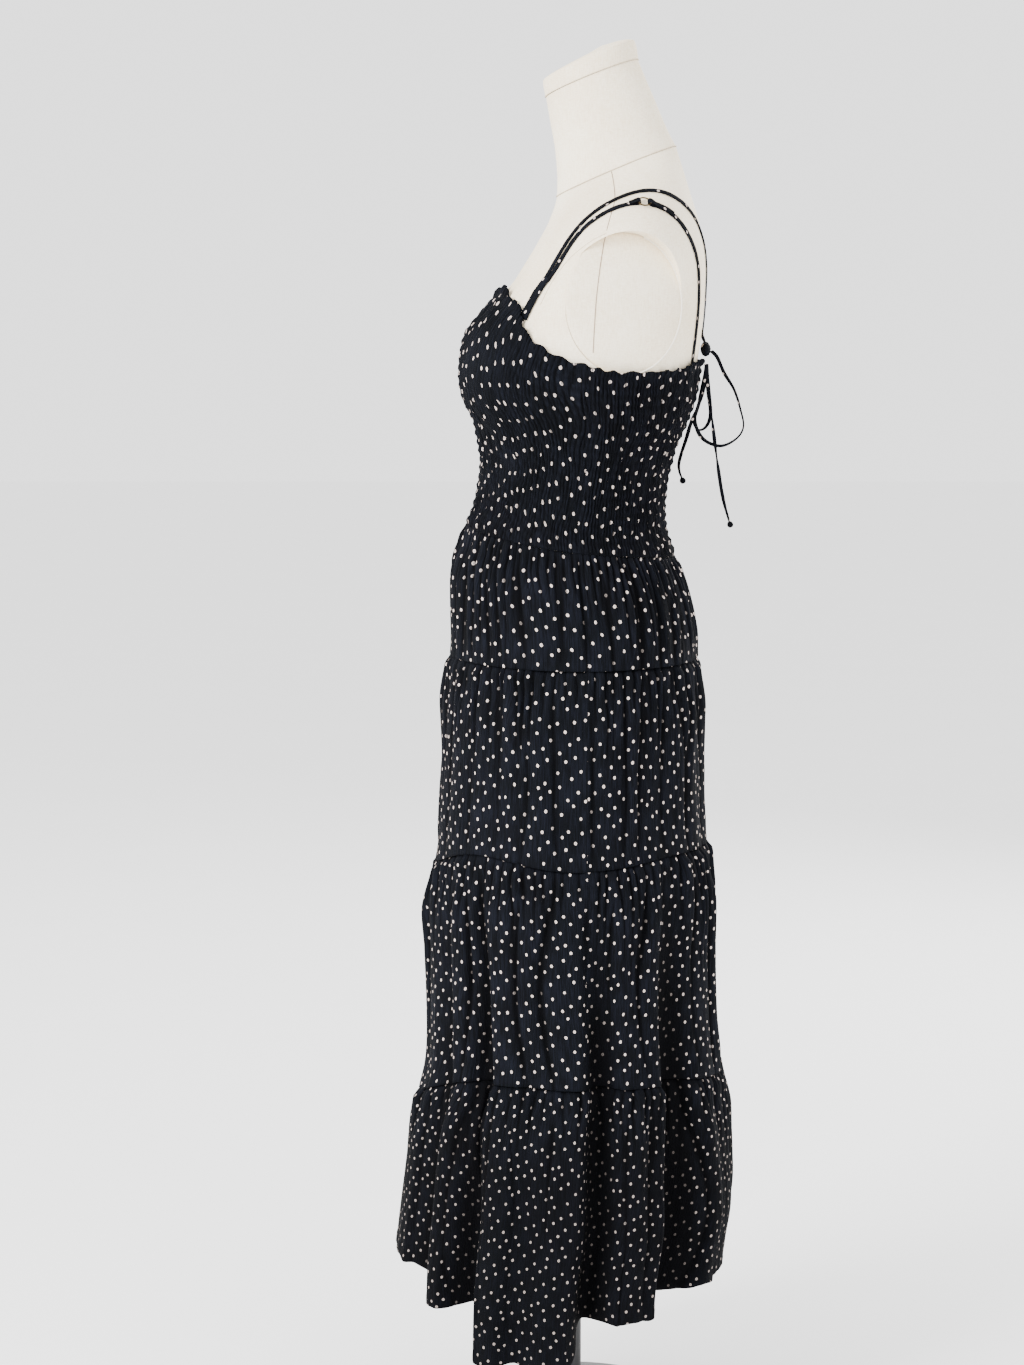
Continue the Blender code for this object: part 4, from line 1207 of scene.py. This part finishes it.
def strap(name, path, faces, width, side, seed):
    look = strapLook
    path = path * (side, 1.0, 1.0)
    faces = faces * (side, 1.0, 1.0)
    run = runOf(path)
    wave = 1.0 + 0.04 * np.sin(run * 240.0 + seed) + 0.03 * np.sin(run * 610.0 + 2 * seed)
    made = band(name, path, faces, width * wave, look["thickness"], strapCloth, run + 0.17 * seed,
                look["sides"], look["roundness"])
    standsFor(made)


def ringEnd(path, faces, along, tail):
    # The strap goes over the ring's wire and comes back on top of itself for the length of its tail
    turnRadius = strapLook["ringTurn"]
    rest = strapLook["tailRise"]
    face = faces[-1]
    centre = path[-1] + face * turnRadius
    places = list(path)
    looks = list(faces)
    for degrees in range(-70, 71, 20):
        a = math.radians(degrees)
        spot = centre + along * math.cos(a) * turnRadius + face * math.sin(a) * turnRadius
        toward = centre - spot
        places.append(spot)
        looks.append(toward / np.linalg.norm(toward))
    back = runOf(path[::-1])
    for s in np.linspace(0.0, tail, 3 + int(tail / 0.002)):
        under = pointAt(s, back, path[::-1])
        facing = pointAt(s, back, faces[::-1])
        rise = rest + (2 * turnRadius - rest) * math.exp(-(s / 0.0045) ** 2)
        places.append(under + facing * rise)
        looks.append(-facing)
    return np.array(places), np.array(looks)


def makeTab(side, label):
    look = strapLook
    points = strapLines["tab"] + [(0.1272, -0.0280, 1.1405)]
    tab, faces = laidLine(points, look["tabSpacing"], look["lift"] + look["tabLift"], 4)
    strap("strapTab" + label, tab, faces, look["tabWidth"], side, 1)


def makeAdjuster(side, label):
    look = strapLook
    path, faces = laidLine(strapLines["adjuster"], look["spacing"], look["lift"])
    middle = int(round(look["ringShare"] * (len(path) - 1)))
    centre, face = path[middle], faces[middle]
    along = path[middle + 2] - path[middle - 2]
    along /= np.linalg.norm(along)
    halves = (
        # name, way, points, tail, share of the width, seed
        ("Front", 1, range(middle), look["frontTail"], 1.0, 2),
        ("Back", -1, range(len(path) - 1, middle, -1), look["backTail"], look["backShare"], 3),
    )
    for half, way, places, tail, share, seed in halves:
        wire = centre - way * along * look["ringRadius"]
        kept = [k for k in places
                if way * ((path[k] - wire) @ along) < -0.001 or way * (path[k][1] - centre[1]) < -0.02]
        ended = ringEnd(np.vstack([path[kept], wire]), np.vstack([faces[kept], face]), way * along, tail)
        strap("strap" + half + label, *ended, look["width"] * share, side, seed)
    count = look["ringSteps"]
    a = roundTheCircle(count)[:, None]
    spokes = along * np.cos(a) + np.cross(along, face) * np.sin(a)
    ring = centre + face * look["ringTurn"] + look["ringRadius"] * spokes
    mirror = (side, 1, 1)
    wire = 2 * look["ringWire"]
    made = band("strapRing" + label, ring * mirror, np.repeat((face * mirror)[None], count, axis=0),
                wire, wire, ringMetal, np.arange(count) * 0.001, 12, 1.0, True)
    standsFor(made)


def makeTieStrap(side, label):
    look = strapLook
    tie, faces = laidLine(strapLines["tie"], look["spacing"], look["lift"])
    leaving = [(0.0090, 0.1375, 1.0830), (0.0070, 0.1390, 1.0795), (0.0050, 0.1400, 1.0750)]
    hang, _ = alongPath(np.vstack([tie[-1:], np.array(leaving) + (0, 0, raised)]), look["tabSpacing"])
    free = np.array([0.0, 1.0, 0.15]) / math.hypot(1.0, 0.15)
    share = np.linspace(0, 1, len(hang))[:, None]
    hangFaces = faces[-1] * (1 - share) + free * share
    path = np.vstack([tie[:-1], hang])
    faces = np.vstack([faces[:-1], hangFaces])
    strap("tieStrap" + label, path, faces, look["width"] * look["tieShare"], side, 4)


for side, label in ((1, "Left"), (-1, "Right")):
    makeTab(side, label)
    makeAdjuster(side, label)
    makeTieStrap(side, label)
print("straps laid")

# Stand
standLook = {
    "pole": 0.0105,
    "foot": 0.0300,
    "top": 0.6555 + raised,
    "base": [
        # radius, z
        (0.1395, 0.0), (0.140, 0.0006), (0.140, 0.0062), (0.1395, 0.0072), (0.1382, 0.0086), (0.136, 0.0100),
        (0.120, 0.0110), (0.080, 0.0127), (0.044, 0.0139), (0.036, 0.0143), (0.030, 0.0152), (0.0265, 0.0168),
        (0.0252, 0.0190), (0.0246, 0.0270), (0.0243, 0.0290), (0.0235, 0.0300),
    ],
}
standBase = turned("standBase", standLook["base"], 120, standPaint, 50.0)
pole = [(standLook["pole"], z) for z in np.linspace(standLook["foot"], standLook["top"], 10)]
standPole = turned("standPole", pole, 48, standPaint, 50.0)
standsFor(standBase)
standsFor(standPole)
print("stand made")

# Floor and light
floorPaint = Finish("floorPaint")
floorSpots = floorPaint.noise(floorPaint.add("ShaderNodeTexCoord", {}, {}, 3), 3.0, 2.0)
floorFinish = floorPaint.close({
    "Base Color": floorPaint.mixed(floorSpots, color(246, 246, 246), color(249, 249, 249)),
    "Roughness": 0.9,
})
floorMesh = bpy.data.meshes.new("floor")
floorMesh.from_pydata([(-30, -30, 0), (30, -30, 0), (30, 30, 0), (-30, 30, 0)], [], [(0, 1, 2, 3)])
floorMesh.materials.append(floorFinish)
linked("floor", floorMesh)

lightLook = [
    # name, place, aim, size, power
    ("keyLight", (2.5, -2.7, 2.4), (0.0, 0.0, 0.9), 1.7, 330.0),
    ("fillLight", (2.8, 2.4, 1.2), (0.0, 0.0, 0.7), 2.4, 50.0),
    ("backLight", (-2.6, 1.6, 2.4), (0.0, 0.0, 0.9), 2.2, 120.0),
]
worldStrength = 2.2
for name, place, aim, size, power in lightLook:
    light = bpy.data.lights.new(name, "AREA")
    light.shape = "SQUARE"
    light.size = size
    light.energy = power
    lamp = linked(name, light)
    lamp.location = place
    lamp.rotation_euler = (Vector(place) - Vector(aim)).to_track_quat("Z", "Y").to_euler()
world = bpy.data.worlds.new("studio")
world.use_nodes = True
background = world.node_tree.nodes["Background"]
background.inputs["Color"].default_value = (1.0, 1.0, 1.0, 1.0)
background.inputs["Strength"].default_value = worldStrength
bpy.context.scene.world = world
